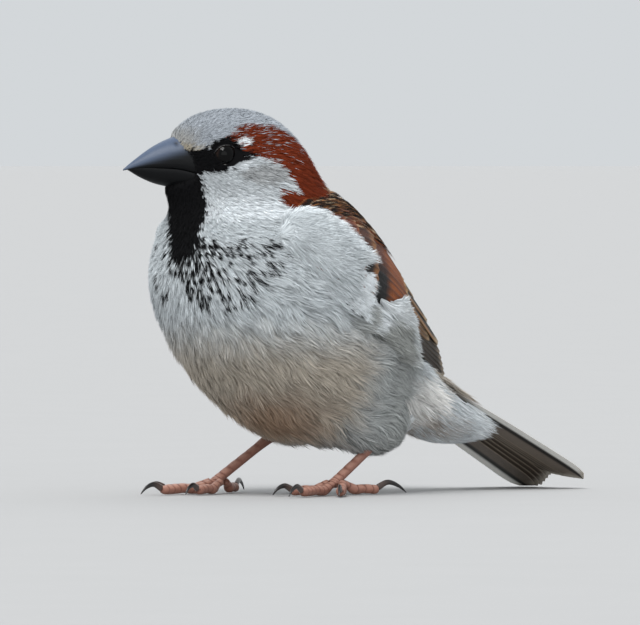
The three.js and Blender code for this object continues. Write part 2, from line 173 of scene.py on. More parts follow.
# ---------- meshes and finishes ----------
@dataclass
class Shape:
    """A mesh as arrays: places in the bird's frame, faces, and what each point carries."""

    points: Array
    faces: Array
    tint: Array
    place: Array | None = None  # the bake map, for each point
    barbs: Array | None = None  # millimetres across and along a vane, for each point

    @staticmethod
    def joined(shapes: list["Shape"]) -> "Shape":
        """Several shapes with faces of one kind, as one."""
        starts = np.cumsum([0] + [len(s.points) for s in shapes[:-1]])
        gather = lambda name: (
            None if getattr(shapes[0], name) is None else np.concatenate([getattr(s, name) for s in shapes])
        )
        faces = np.concatenate([s.faces + n for s, n in zip(shapes, starts)])
        return Shape(gather("points"), faces, gather("tint"), gather("place"), gather("barbs"))

    def triangles(self) -> int:
        """How many triangles the faces make."""
        return len(self.faces) * (self.faces.shape[1] - 2)


def outward(points: Array, faces: Array) -> Array:
    """A closed surface's triangles, turned round if they faced in, as the sum of a . (b x c) tells."""
    a, b, c = (points[faces[:, k]] for k in range(3))
    return faces if (a * np.cross(b, c)).sum() > 0 else faces[:, ::-1]


def tube(points: Array, tint: Array) -> Shape:
    """A closed tube of rows of points, each end drawn together in the middle of its first or last row.

    Args:
        points: rows, points in each row, xyz.
        tint: a colour for each point.

    Returns:
        Triangles that face out.
    """
    k, j = points.shape[0] - 2, points.shape[1]
    cell = np.arange(j)
    after = (cell + 1) % j
    row = np.arange(k - 1)[:, None] * j
    a, b = row + cell, row + after
    walls = [np.stack([a, b, b + j], -1).reshape(-1, 3), np.stack([a, b + j, a + j], -1).reshape(-1, 3)]
    last = (k - 1) * j
    pole = 0 * cell + k * j
    ends = [np.stack([after, cell, pole], -1), np.stack([last + cell, last + after, pole + 1], -1)]
    gather = lambda rows: np.concatenate([rows[1:-1].reshape(-1, 3), rows[[0, -1]].mean(1)])
    places = gather(points)
    return Shape(places, outward(places, np.concatenate([*walls, *ends])), gather(tint))


def frame_shift() -> Array:
    """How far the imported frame's origin is from the bird's, from where the left eye lies in each."""
    low, high = (np.array(corner) * 1000 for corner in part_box("eye_left"))
    return Head().place(*Head().eye_at(Side.LEFT)) - (low + high) / 2


def piece(name: str, shape: Shape, finish: "Finish", nodes: tuple = ()) -> bpy.types.Object:
    """Makes a mesh object of a shape, which rides on the model's one body.

    Args:
        name: the piece's name.
        shape: its arrays, in millimetres in the bird's frame.
        finish: its material.
        nodes: the CAD nodes that it replaces.

    Returns:
        The object, at the origin with its place in its mesh.
    """
    mesh = bpy.data.meshes.new(name)
    places = (shape.points - frame_shift()) / 1000
    places[:, 2] = np.maximum(places[:, 2], 0)
    count, corners = shape.faces.shape
    mesh.vertices.add(len(places))
    mesh.vertices.foreach_set("co", places.astype(np.float32).ravel())
    mesh.loops.add(count * corners)
    mesh.loops.foreach_set("vertex_index", shape.faces.astype(np.int32).ravel())
    mesh.polygons.add(count)
    mesh.polygons.foreach_set("loop_start", np.arange(0, count * corners, corners, dtype=np.int32))
    mesh.polygons.foreach_set("use_smooth", np.ones(count, bool))
    colour = np.ones((len(places), 4), np.float32)
    colour[:, :3] = shape.tint
    mesh.color_attributes.new(TINT, "FLOAT_COLOR", "POINT").data.foreach_set("color", colour.ravel())
    for title, values in ((BAKE_MAP, shape.place), (BARB_MAP, shape.barbs)):
        if values is not None:
            spots = values[shape.faces.ravel()].astype(np.float32)
            mesh.uv_layers.new(name=title).data.foreach_set("uv", spots.ravel())
    mesh.update(calc_edges=True)
    mesh.validate()
    made = bpy.data.objects.new(name, mesh)
    bpy.context.scene.collection.objects.link(made)
    mesh.materials.append(finish.material())
    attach(made, "root")
    if nodes:
        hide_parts(*nodes)
    LOG.info("%s: %d triangles", name, shape.triangles())
    return made


class Graph:
    """A material's nodes, added and joined by name."""

    def __init__(self, name: str) -> None:
        """Starts a material with an empty node tree."""
        self.material = bpy.data.materials.new(name)
        self.material.use_nodes = True
        self.tree = self.material.node_tree
        self.tree.nodes.clear()

    def add(self, kind: str, settings: dict | None = None, **inputs: object) -> bpy.types.Node:
        """Adds a node.

        Args:
            kind: the node's type, without the word ShaderNode.
            settings: values of the node's own properties.
            inputs: a value or a socket for each input, by its name with _ for a space, or n and its number.

        Returns:
            The node.
        """
        node = self.tree.nodes.new("ShaderNode" + kind)
        for key, value in (settings or {}).items():
            setattr(node, key, value)
        for key, value in inputs.items():
            socket = node.inputs[int(key[1:])] if key[1:].isdigit() else node.inputs[key.replace("_", " ")]
            if isinstance(value, bpy.types.NodeSocket):
                self.tree.links.new(value, socket)
            else:
                socket.default_value = value
        return node

    def sums(self, operation: str, a: object, b: object = 0.0) -> bpy.types.NodeSocket:
        """The result of one sum on two numbers or sockets."""
        return self.add("Math", {"operation": operation}, n0=a, n1=b).outputs[0]


@dataclass(frozen=True)
class Finish:
    """A material whose colour is the mesh's own tint, broken up by a fine grain."""

    name: str
    roughness: float
    grain: float  # grains in a metre
    uneven: float  # how much the grain lightens and darkens the colour
    relief: float  # height of the grain, in millimetres
    sheen: float = 0.0
    coat: float = 0.0
    barbed: bool = False  # a vane's slanting barbs, in colour and relief
    bright: float = 0.5  # the strength of its mirror-like light
    made: dict = field(default_factory=dict, compare=False)

    def material(self) -> bpy.types.Material:
        """The material, made once: tint times (1 + uneven * noise), with the same noise as its relief."""
        if self.name not in self.made:
            self.made[self.name] = self.build()
        return self.made[self.name]

    def build(self) -> bpy.types.Material:
        """Builds the nodes."""
        graph = Graph(self.name)
        where = graph.add("TexCoord").outputs["Object"]
        grain = graph.add("TexNoise", Vector=where, Scale=self.grain, Detail=3.0, Roughness=0.6).outputs[0]
        height = grain
        shade = graph.add("MapRange", Value=grain, To_Min=1 - self.uneven, To_Max=1 + self.uneven).outputs[0]
        if self.barbed:
            line = self.barb_lines(graph)
            height = graph.sums("ADD", graph.sums("MULTIPLY", grain, 0.35), line)
            striped = graph.add("MapRange", Value=line, To_Min=0.8, To_Max=1.12).outputs[0]
            shade = graph.sums("MULTIPLY", shade, striped)
        tint = graph.add("Attribute", {"attribute_name": TINT}).outputs["Color"]
        colour = graph.add("VectorMath", {"operation": "SCALE"}, n0=tint, Scale=shade).outputs[0]
        bump = graph.add("Bump", Height=height, Distance=self.relief / 1000, Strength=0.8).outputs[0]
        shader = graph.add("BsdfPrincipled", Base_Color=colour, Normal=bump, Roughness=self.roughness)
        shader.inputs["Sheen Weight"].default_value = self.sheen
        shader.inputs["Sheen Roughness"].default_value = 0.5
        shader.inputs["Coat Weight"].default_value = self.coat
        shader.inputs["Coat Roughness"].default_value = 0.08
        shader.inputs["Specular IOR Level"].default_value = self.bright
        graph.add("OutputMaterial", Surface=shader.outputs[0])
        return graph.material

    @staticmethod
    def barb_lines(graph: Graph) -> bpy.types.NodeSocket:
        """Barbs that slant from the shaft to the edge: the sine of (along - 1.1 * |across|) times a pitch."""
        spot = graph.add("SeparateXYZ", Vector=graph.add("UVMap", {"uv_map": BARB_MAP}).outputs[0])
        across = graph.sums("ABSOLUTE", spot.outputs[0])
        slant = graph.sums("SUBTRACT", spot.outputs[1], graph.sums("MULTIPLY", across, 1.1))
        wave = graph.sums("SINE", graph.sums("MULTIPLY", slant, 18.0))
        fine = graph.sums("SINE", graph.sums("MULTIPLY", slant, 47.0))
        return graph.sums("ADD", graph.sums("MULTIPLY", wave, 0.3), graph.sums("MULTIPLY", fine, 0.2))


DOWN = Finish("downy_coat", roughness=0.85, grain=2200, uneven=0.1, relief=0.03, sheen=0.02, bright=0.1)
VANE = Finish("barbed_vane", roughness=0.62, grain=1500, uneven=0.14, relief=0.05, barbed=True, bright=0.35)
BILL_HORN = Finish("bill_horn", roughness=0.36, grain=900, uneven=0.1, relief=0.03, bright=0.16)
CLAW_HORN = Finish("claw_horn", roughness=0.3, grain=1400, uneven=0.2, relief=0.02, coat=0.3)
LEG_SCALE = Finish("leg_scales", roughness=0.55, grain=1800, uneven=0.2, relief=0.06, bright=0.4)
EYE_GLOSS = Finish("eye_gloss", roughness=0.05, grain=600, uneven=0.1, relief=0.0, bright=0.14)
LID_SKIN = Finish("lid_skin", roughness=0.6, grain=2500, uneven=0.2, relief=0.04, bright=0.25)


# ---------- the head's frame and the body's surface ----------
@dataclass(frozen=True)
class Head:
    """Where the head is, and places given forward, left and up from its centre."""

    centre: tuple = (-1.5, -11.4, 70.5)
    pitch: float = -3
    yaw: float = 23  # turned to the bird's right
    eye: tuple = (5.6, 7.35, 2.0)
    eye_radius: float = 2.75

    def place(self, forward: Array, left: Array, up: Array) -> Array:
        """The place that lies so far forward, left and up of the head's centre."""
        amounts = np.stack(np.broadcast_arrays(forward, left, up), -1).astype(float)
        return np.array(self.centre) + amounts @ axes(self.pitch, self.yaw)

    def seen(self, points: Array) -> Array:
        """How far forward, left and up of the head's centre the points are."""
        return (points - np.array(self.centre)) @ axes(self.pitch, self.yaw).T

    def eye_at(self, side: Side) -> tuple:
        """The middle of an eyeball, forward, left and up."""
        return (self.eye[0], side.value * self.eye[1], self.eye[2])


@dataclass(frozen=True)
class Mass:
    """One rounded mass of the body: an ellipsoid with radii along its forward, left and dorsal directions."""

    centre: tuple
    radii: tuple
    pitch: float
    yaw: float = 0.0


@dataclass(frozen=True)
class Body:
    """The body's outer surface: ellipsoids run softly into each other."""

    head: Head = Head()
    softness: float = 1.6
    trunk: tuple = (
        Mass((0.6, 6.6, 31.8), (24.8, 22, 21.2), 27),
        Mass((0.4, -2, 38.4), (25, 23, 21.4), 42),
        Mass((0, -8.3, 46), (21.5, 22.5, 20.5), 50),
        Mass((0, 4, 50.5), (23.5, 18.5, 13.5), 42),
        Mass((1.3, 21.5, 30.5), (19.5, 15, 11.8), 31, 4),
        Mass((3.2, 34.5, 21.1), (18.5, 9.6, 7.3), 27, 7),
        Mass((10.9, 15.5, 16), (10.5, 7, 7.8), 8),
        Mass((-9.5, 13, 18.6), (8.5, 7.6, 7.6), 10),
        Mass((-0.8, -6.6, 60.3), (13.4, 14, 14.3), 60, 10),
    )
    # The head's own masses: centres are forward, left and up of its centre, and turns are added to its own.
    skull: tuple = (
        Mass((0, 0, 0.3), (13.4, 10.1, 11), 0),
        Mass((6.8, 0, 3), (8.4, 7, 7), -10),
        Mass((-6, 0, -5), (9.8, 10.3, 10.3), 40, -4),
        Mass((-1, 4.5, -5), (9, 6.5, 7), 0),
        Mass((-1, -4.5, -5), (9, 6.5, 7), 0),
        Mass((9, 0, -2), (7.5, 5.5, 6.5), 0),
        Mass((6.5, 0, -11), (9, 6.5, 7), 60),
    )
    spine: tuple = (
        (5.2, 52, 12.4), (3.2, 38, 20), (1.2, 22, 30.5), (0, 5, 39), (-0.2, -4, 48),
        (-0.8, -8, 57), (-1.2, -10, 65), (-1.5, -11.4, 72), (-1.6, -11.8, 82.9),
    )
    spine_turn: tuple = (
        (27, 7, 0), (27, 6, 0), (30, 3, 0), (36, 0, 0), (50, 2, 0), (66, 8, 0), (80, 16, 0), (88, 23, 0),
        (92, 23, 0),
    )
    ends: tuple = (0.0092, 0.99032)  # where the spine meets the surface
    rings: int = 260
    sides: int = 150

    def field(self, points: Array) -> tuple[Array, Array]:
        """Distance outside the surface, and the outward direction there.

        For one ellipsoid, with q the place in its own axes, k0 = |q / r| and k1 = |q / r^2|, the distance is
        close to k0 (k0 - 1) / k1. All are blended as -softness * log(sum(exp(-distance / softness))).

        Args:
            points: places in the bird's frame.

        Returns:
            The distances, below zero inside, and unit vectors.
        """
        points = self.pinched(points)
        total = np.zeros(points.shape[:-1])
        out = np.zeros(points.shape)
        placed = [(np.array(m.centre), m, axes(m.pitch, m.yaw)) for m in self.trunk]
        for m in self.skull:
            turned = axes(self.head.pitch + m.pitch, self.head.yaw + m.yaw)
            placed.append((self.head.place(*m.centre), m, turned))
        for centre, mass, turned in placed:
            radii = np.array(mass.radii, float)
            q = (points - centre) @ turned.T
            k0 = np.linalg.norm(q / radii, axis=-1) + 1e-9
            slope = q / radii**2
            k1 = np.linalg.norm(slope, axis=-1) + 1e-9
            weight = np.exp(-np.clip(k0 * (k0 - 1) / k1, -60, 60) / self.softness)
            total += weight
            out += (weight / k1)[..., None] * (slope @ turned)
        return -self.softness * np.log(total), unit(out)

    def pinched(self, points: Array) -> Array:
        """Points spread sideways in front of the eyes, which narrows the surface towards the bill's root."""
        f, l, u = np.moveaxis(self.head.seen(points), -1, 0)
        spread = 0.42 * ease(7.5, 13, f) * ease(-12, -8, u)
        return points + (l * spread)[..., None] * axes(self.head.pitch, self.head.yaw)[1]

    def settled(self, points: Array, level: Array, rounds: int = 3) -> tuple[Array, Array]:
        """Points moved straight in or out to a level above the surface, and the way out there."""
        for _ in range(rounds):
            distance, out = self.field(points)
            points = points - out * (distance - level)[..., None]
        return points, out

    def grid(self) -> tuple[Array, Array, Array]:
        """The surface as rings of points round the spine: each ray steps out by the distance left to it.

        Returns:
            The points, with one row for each ring, then the shares of the spine and of the turn.
        """
        t = np.linspace(0, 1, self.rings + 1)[1:-1]
        s = self.ends[0] + (self.ends[1] - self.ends[0]) * (0.5 - 0.5 * np.cos(np.pi * t))
        turn = np.arange(self.sides) / self.sides
        middle = Curve(self.spine).at(s)
        lean = Curve(self.spine_turn).at(s)
        frames = np.array([axes(p, y) for p, y, _ in lean])
        angle = 2 * np.pi * turn
        out = frames[:, None, 2] * np.cos(angle)[:, None] - frames[:, None, 1] * np.sin(angle)[:, None]
        reach = np.zeros(out.shape[:2])
        for _ in range(60):
            distance, _ = self.field(middle[:, None] + out * reach[..., None])
            onward, back = np.maximum(-0.7 * distance, 0.002), -0.4 * np.minimum(distance, 1)
            reach = reach + np.where(distance < 0, onward, back)
        return middle[:, None] + out * reach[..., None], s, turn


# ---------- markings ----------
def toned(code: str) -> Array:
    """A dataclass field that holds a tone."""
    return field(default_factory=lambda: tone(code))


@dataclass(frozen=True)
class Markings:
    """The plumage's colours as a function of place, shared by the skin and the coat.

    On the head they follow two angles seen from its centre: bearing, from straight ahead to straight back,
    and height above level, in degrees.
    """

    head: Head = Head()
    ash: Array = toned("a5abb2")
    ash_buff: Array = toned("a59d8d")
    chestnut: Array = toned("6b2a14")
    black: Array = toned("09090b")
    white: Array = toned("dfe4e7")
    cheek: Array = toned("b9bec1")
    ear_grey: Array = toned("8f9090")
    breast: Array = toned("bfc5c8")
    # The belly's and the flank's tones are darker than the breast's: partly their own duller colour, partly
    # painted shade of the body's lower side.
    belly: Array = toned("b3aa9d")
    belly_warm: Array = toned("8e6c50")
    flank: Array = toned("999b98")
    mantle: Array = toned("8d7558")
    rump: Array = toned("948b7e")
    vent: Array = toned("e9e8e5")
    smudge: Array = toned("8a7a6c")

    crown_edge: tuple = (
        (0, 14), (15, 15), (29, 15.5), (41, 18), (47, 25), (57, 30), (64, 34), (70, 45), (94, 49), (117, 44),
        (141, 37), (151, 27), (165, 12), (180, 6),
    )
    chestnut_foot: tuple = (
        (58, 33), (66, 31), (75, 24), (85, 15), (98, 5), (110, 2), (117, -4), (121, -10), (123, -17),
        (125, -31), (150, -31), (180, -28),
    )
    cheek_top: tuple = ((20, -14), (34, -6), (43, -7), (60, -5), (72, 2), (83, 6), (95, 6))
    bib_middle: tuple = ((-48, 26), (-44, 25), (-40, 22), (-36, 18), (-31, 12), (-25, 8), (-10, 2))
    bib_half: tuple = ((-47, 8), (-44, 13), (-40, 18), (-36, 20), (-31, 23), (-24, 26), (-14, 28), (-5, 30))
    # On the breast: how low the black marks reach, by bearing from straight ahead of the bird.
    fleck_foot: tuple = (
        (-14, 52), (-4, 46.5), (3.6, 41.5), (15, 38), (26, 35.5), (37, 39.5), (48, 44), (56, 50),
    )
    # On the body: how high the back's lower edge is, by y.
    back_edge: tuple = ((-10, 62), (1.8, 61), (8, 59), (14.5, 54), (23, 46), (31, 37), (38, 28), (52, 15))

    def spot(self, seen: Array, at: tuple, size: tuple) -> Array:
        """One inside an ellipse of bearing and height, easing to zero at its edge."""
        away = np.hypot((seen[0] - at[0]) / size[0], (seen[1] - at[1]) / size[1])
        return 1 - ease(0.85, 1.15, away)

    def angles(self, points: Array) -> tuple[Array, Array, Array]:
        """Signed bearing and height seen from the head's centre, in degrees, and the distance from it."""
        f, l, u = np.moveaxis(self.head.seen(points), -1, 0)
        distance = np.sqrt(f * f + l * l + u * u)
        return np.degrees(np.arctan2(l, f)), np.degrees(np.arctan2(u, np.hypot(f, l))), distance

    def on_head(self, points: Array) -> Array:
        """Colours of the head and throat."""
        bearing, height, _ = self.angles(points)
        side = np.abs(bearing)
        crown = along(self.crown_edge, side)
        cheek_top = along(self.cheek_top, side)
        seen = (side, height)
        colour = mix(self.cheek, self.white, ease(-24, -34, height) * ease(30, 60, side))
        colour = mix(colour, self.ear_grey, 0.75 * self.spot(seen, (98, -11), (26, 8)))
        colour = mix(colour, self.black, (height > cheek_top) & (side < 92))
        brown = (side > 60) & (height > along(self.chestnut_foot, side))
        crescent = self.spot(seen, (118, -27.5), (14, 4.3)) > 0.5
        colour = mix(colour, self.chestnut, brown | crescent)
        colour = mix(colour, self.white, self.spot(seen, (80.5, 27), (9, 3.9)) > 0.5)
        buff = 0.8 * ease(22, 15, height) * ease(75, 30, side)
        buff = buff + 0.5 * ease(35, 15, side) * ease(40, 20, height)
        return mix(colour, mix(self.ash, self.ash_buff, np.clip(buff, 0, 1)), height > crown)

    def bib(self, points: Array) -> Array:
        """True on the black chin and throat."""
        bearing, height, distance = self.angles(points)
        inside = np.abs(bearing - along(self.bib_middle, height)) < along(self.bib_half, height)
        return inside & (height < -3) & (height > -47) & (distance < 34)

    def on_body(self, points: Array) -> Array:
        """Colours of the neck, trunk and rump."""
        x, y, z = np.moveaxis(points, -1, 0)
        colour = mix(self.breast, self.white, 0.75 * ease(60, 66, z))
        # Lower down, the body is darker than the breast: the belly's and the flanks' tones are partly their
        # own duller colour and partly painted shade of the body's lower side.
        colour = mix(colour, self.belly, ease(40, 26, z) * ease(14, 0, y))
        colour = mix(colour, self.flank, 0.8 * ease(2, 16, y) * ease(46, 38, z) * ease(30, 22, y))
        warm = np.hypot((x - 4) / 13, np.hypot(y + 6, z - 17) / 11)
        colour = mix(colour, self.belly_warm, 0.7 * ease(1.3, 0.2, warm))
        colour = mix(colour, self.vent, ease(22, 30, y) * ease(27, 22, z))
        patch = np.hypot((y - 38) / 6, (z - 14) / 3)
        colour = mix(colour, self.smudge, 0.7 * ease(1.2, 0.4, patch))
        back = self.back(points)
        colour = mix(colour, self.mantle, back)
        return mix(colour, self.rump, back * ease(24, 34, y))

    def back(self, points: Array) -> Array:
        """One on the mantle and rump: above the line between the wings' upper edges, behind the neck."""
        x, y, z = np.moveaxis(points, -1, 0)
        behind = y - 1.0 - 0.45 * np.clip(15 - np.abs(x), 0, 15)
        return ((z > along(self.back_edge, y)) & (behind > 0)).astype(float)

    def colour(self, points: Array) -> Array:
        """Colours anywhere on the bird: the head's within its own reach, the body's beyond it."""
        bearing, height, distance = self.angles(points)
        z = points[..., 2]
        edge = np.where(height < -30, 21, 23) + 9 * ease(95, 118, np.abs(bearing)) * ease(-40, -33, height)
        inside = (distance < edge) & (self.back(points) < 0.5) & ~((height < -36) & (distance > 19))
        colour = np.where(inside[..., None], self.on_head(points), self.on_body(points))
        return mix(colour, self.black, self.bib(points) & (z > 50))

    def flecks(self, points: Array) -> Array:
        """How likely a feather of the breast is to have a black middle, from its bearing round the breast."""
        x, y, z = np.moveaxis(points, -1, 0)
        bearing = np.degrees(np.arctan2(x, -y))
        inside = ease(-1.5, 3, z - along(self.fleck_foot, bearing)) * ease(55.5, 51.5, z)
        inside = inside * ease(-14, -5, bearing) * ease(56, 44, bearing)
        dense = ease(45, 10, bearing) * ease(36, 50, z)
        stray = 0.1 * ease(-42, -20, bearing) * ease(0, -10, bearing) * ease(34, 42, z) * ease(56, 50, z)
        return np.where(y < 0, np.clip(inside * (0.62 + 0.45 * dense) + stray, 0, 1), 0)

    def streaked(self, points: Array) -> Array:
        """Colours of the back: dark streaks down the middle of buff and chestnut feathers, in a net."""
        x, y, z = np.moveaxis(points, -1, 0)
        run = 0.79 * y - 0.61 * z
        column = np.floor(x / 2.1)
        row = np.floor(run / 5.5 + 0.5 * (column % 2))
        lot = lambda draw: chance(row, column, draw)
        across = x / 2.1 - column - 0.5 + 0.3 * (lot(1) - 0.5)
        share = run / 5.5 + 0.5 * (column % 2) - row
        wide = (0.14 + 0.16 * lot(2)) * ease(1.0, 0.75, share) * ease(-0.2, 0.3, share)
        base = np.where(lot(3)[..., None] < 0.3, tone("6b3a20"), mix(tone("9c8163"), tone("b8a58a"), lot(4)))
        return mix(base, tone("1d1611"), ease(1.3, 0.8, np.abs(across) / np.maximum(wide, 0.01)))

    def marked(self, points: Array) -> Array:
        """One on the breast's black marks: an upright oval in each cell of a net, varied by chance."""
        x, y, z = np.moveaxis(points, -1, 0)
        across, high = np.arctan2(x, -y) * 23, z
        row = np.floor(high / 1.85)
        column = np.floor(across / 1.3 + 0.5 * (row % 2))
        lot = lambda draw: chance(row, column, draw)
        middle_x = (column + 0.5 - 0.5 * (row % 2) + 0.35 * (lot(1) - 0.5)) * 1.3
        middle_z = (row + 0.5 + 0.5 * (lot(2) - 0.5)) * 1.85
        bold = 1 + 0.3 * ease(30, 12, np.degrees(across / 23))
        wide, tall = (0.33 + 0.18 * lot(3)) * bold, (0.66 + 0.32 * lot(4)) * bold
        sway = (across - middle_x + 0.25 * (lot(6) - 0.5) * (high - middle_z)) / wide
        away = np.hypot(sway, (high - middle_z) / tall)
        return ease(1.15, 0.8, away) * (lot(5) < self.flecks(points))


# ---------- the coat ----------
@dataclass
class Locks:
    """Tufts before they are split into blades: each is a line of places with the way out and to its left."""

    centre: Array  # tuft, step, xyz
    out: Array
    side: Array
    place: Array  # tuft's root on the unwrap

    def pick(self, chosen: Array) -> "Locks":
        """The chosen tufts."""
        return Locks(self.centre[chosen], self.out[chosen], self.side[chosen], self.place[chosen])

    def length(self) -> Array:
        """Each tuft's length."""
        return np.linalg.norm(np.diff(self.centre, axis=1), axis=-1).sum(1)


@dataclass(frozen=True)
class Cut:
    """How a tuft is split into blades."""

    blades: int
    segments: int
    width: float  # of one blade, as a share of the tuft's length
    fan: float  # half the tuft's spread, as a share of its length
    lift: float  # how far blades stand out, as a share of the length
    frizz: float = 0.06  # how far blades bend aside, as a share of the length
    rough: float = 0.12  # how much blades differ in brightness
    patch: float = 0.003  # the tuft's patch on the bake map

    def shape(self, locks: Locks, tint: Callable, rng: np.random.Generator) -> Shape:
        """Splits tufts into flat tapering blades that fan out from the root.

        A blade at u from -1 to 1 across its tuft follows the tuft's line, moved aside by
        fan * u * (0.2 + 0.8 t^0.7), where t runs from root to tip, and outer blades are shorter.

        Args:
            locks: the tufts.
            tint: gives colours for tuft numbers, u, t and places.
            rng: the random draws.

        Returns:
            The blades as one shape of triangles.
        """
        n, b, m = len(locks.centre), self.blades, self.segments
        size = locks.length()[:, None, None]
        u = np.linspace(-1, 1, b)[None] + rng.uniform(-0.8, 0.8, (n, b)) / b
        share = (1 - 0.35 * u**2) * rng.uniform(0.78, 1.06, (n, b))
        t = np.clip(share[..., None] * np.linspace(0, 1, m + 1) ** 0.85, 0, 1)
        steps = locks.centre.shape[1] - 1
        low = np.minimum((t * steps).astype(int), steps - 1)
        part = (t * steps - low)[..., None]
        row = np.arange(n)[:, None, None]
        blend = lambda a: a[row, low] * (1 - part) + a[row, low + 1] * part
        middle, out, side = blend(locks.centre), unit(blend(locks.out)), unit(blend(locks.side))
        bend = rng.normal(0, self.frizz, (n, b))[..., None] * t**2
        aside = size * (self.fan * u[..., None] * (0.2 + 0.8 * t**0.7) + bend)
        lifted = self.lift * rng.uniform(-0.2, 1, (n, b))[..., None] * t**2
        rise = size * (lifted - 0.25 * self.fan * u[..., None] ** 2 * t)
        line = middle + side * aside[..., None] + out * rise[..., None]
        roll = rng.normal(0, 0.35, (n, b))[..., None, None]
        edge = side * np.cos(roll) + out * np.sin(roll)
        taper = np.array([0.75, 1.0, 0.72, 0.5])[: m + 1] * self.width / 2
        half = (size * taper)[..., None] * edge
        right, left = (line - half)[:, :, :m], (line + half)[:, :, :m]
        pairs = np.stack([right, left], 3).reshape(n, b, 2 * m, 3)
        points = np.concatenate([pairs, line[:, :, m:]], 2)
        root = np.repeat(t[:, :, :m], 2, axis=2)
        tip_t = np.concatenate([root, t[:, :, m:]], 2)
        across = np.broadcast_to(u[..., None], tip_t.shape)
        colour = tint(row, across, tip_t, points) * (1 + rng.normal(0, self.rough, (n, b)))[..., None, None]
        aside = np.array([-0.9, 0.9] * m + [0]) / b
        spot = np.stack([(across + aside) * 0.45, tip_t - 0.5], -1) * self.patch
        place = locks.place[:, None, None] + spot
        colour = np.clip(colour, 0.002, 1).reshape(-1, 3)
        return Shape(points.reshape(-1, 3), self.faces(n * b), colour, place.reshape(-1, 2))

    def faces(self, count: int) -> Array:
        """The triangles of so many blades: a strip of pairs of points that ends in one."""
        m = self.segments
        pair = lambda k: ((2 * k, 2 * k + 2, 2 * k + 1), (2 * k + 1, 2 * k + 2, 2 * k + 3))
        strip = [face for k in range(m - 1) for face in pair(k)]
        strip.append((2 * m - 2, 2 * m, 2 * m - 1))
        return (np.array(strip)[None] + np.arange(count)[:, None, None] * (2 * m + 1)).reshape(-1, 3)


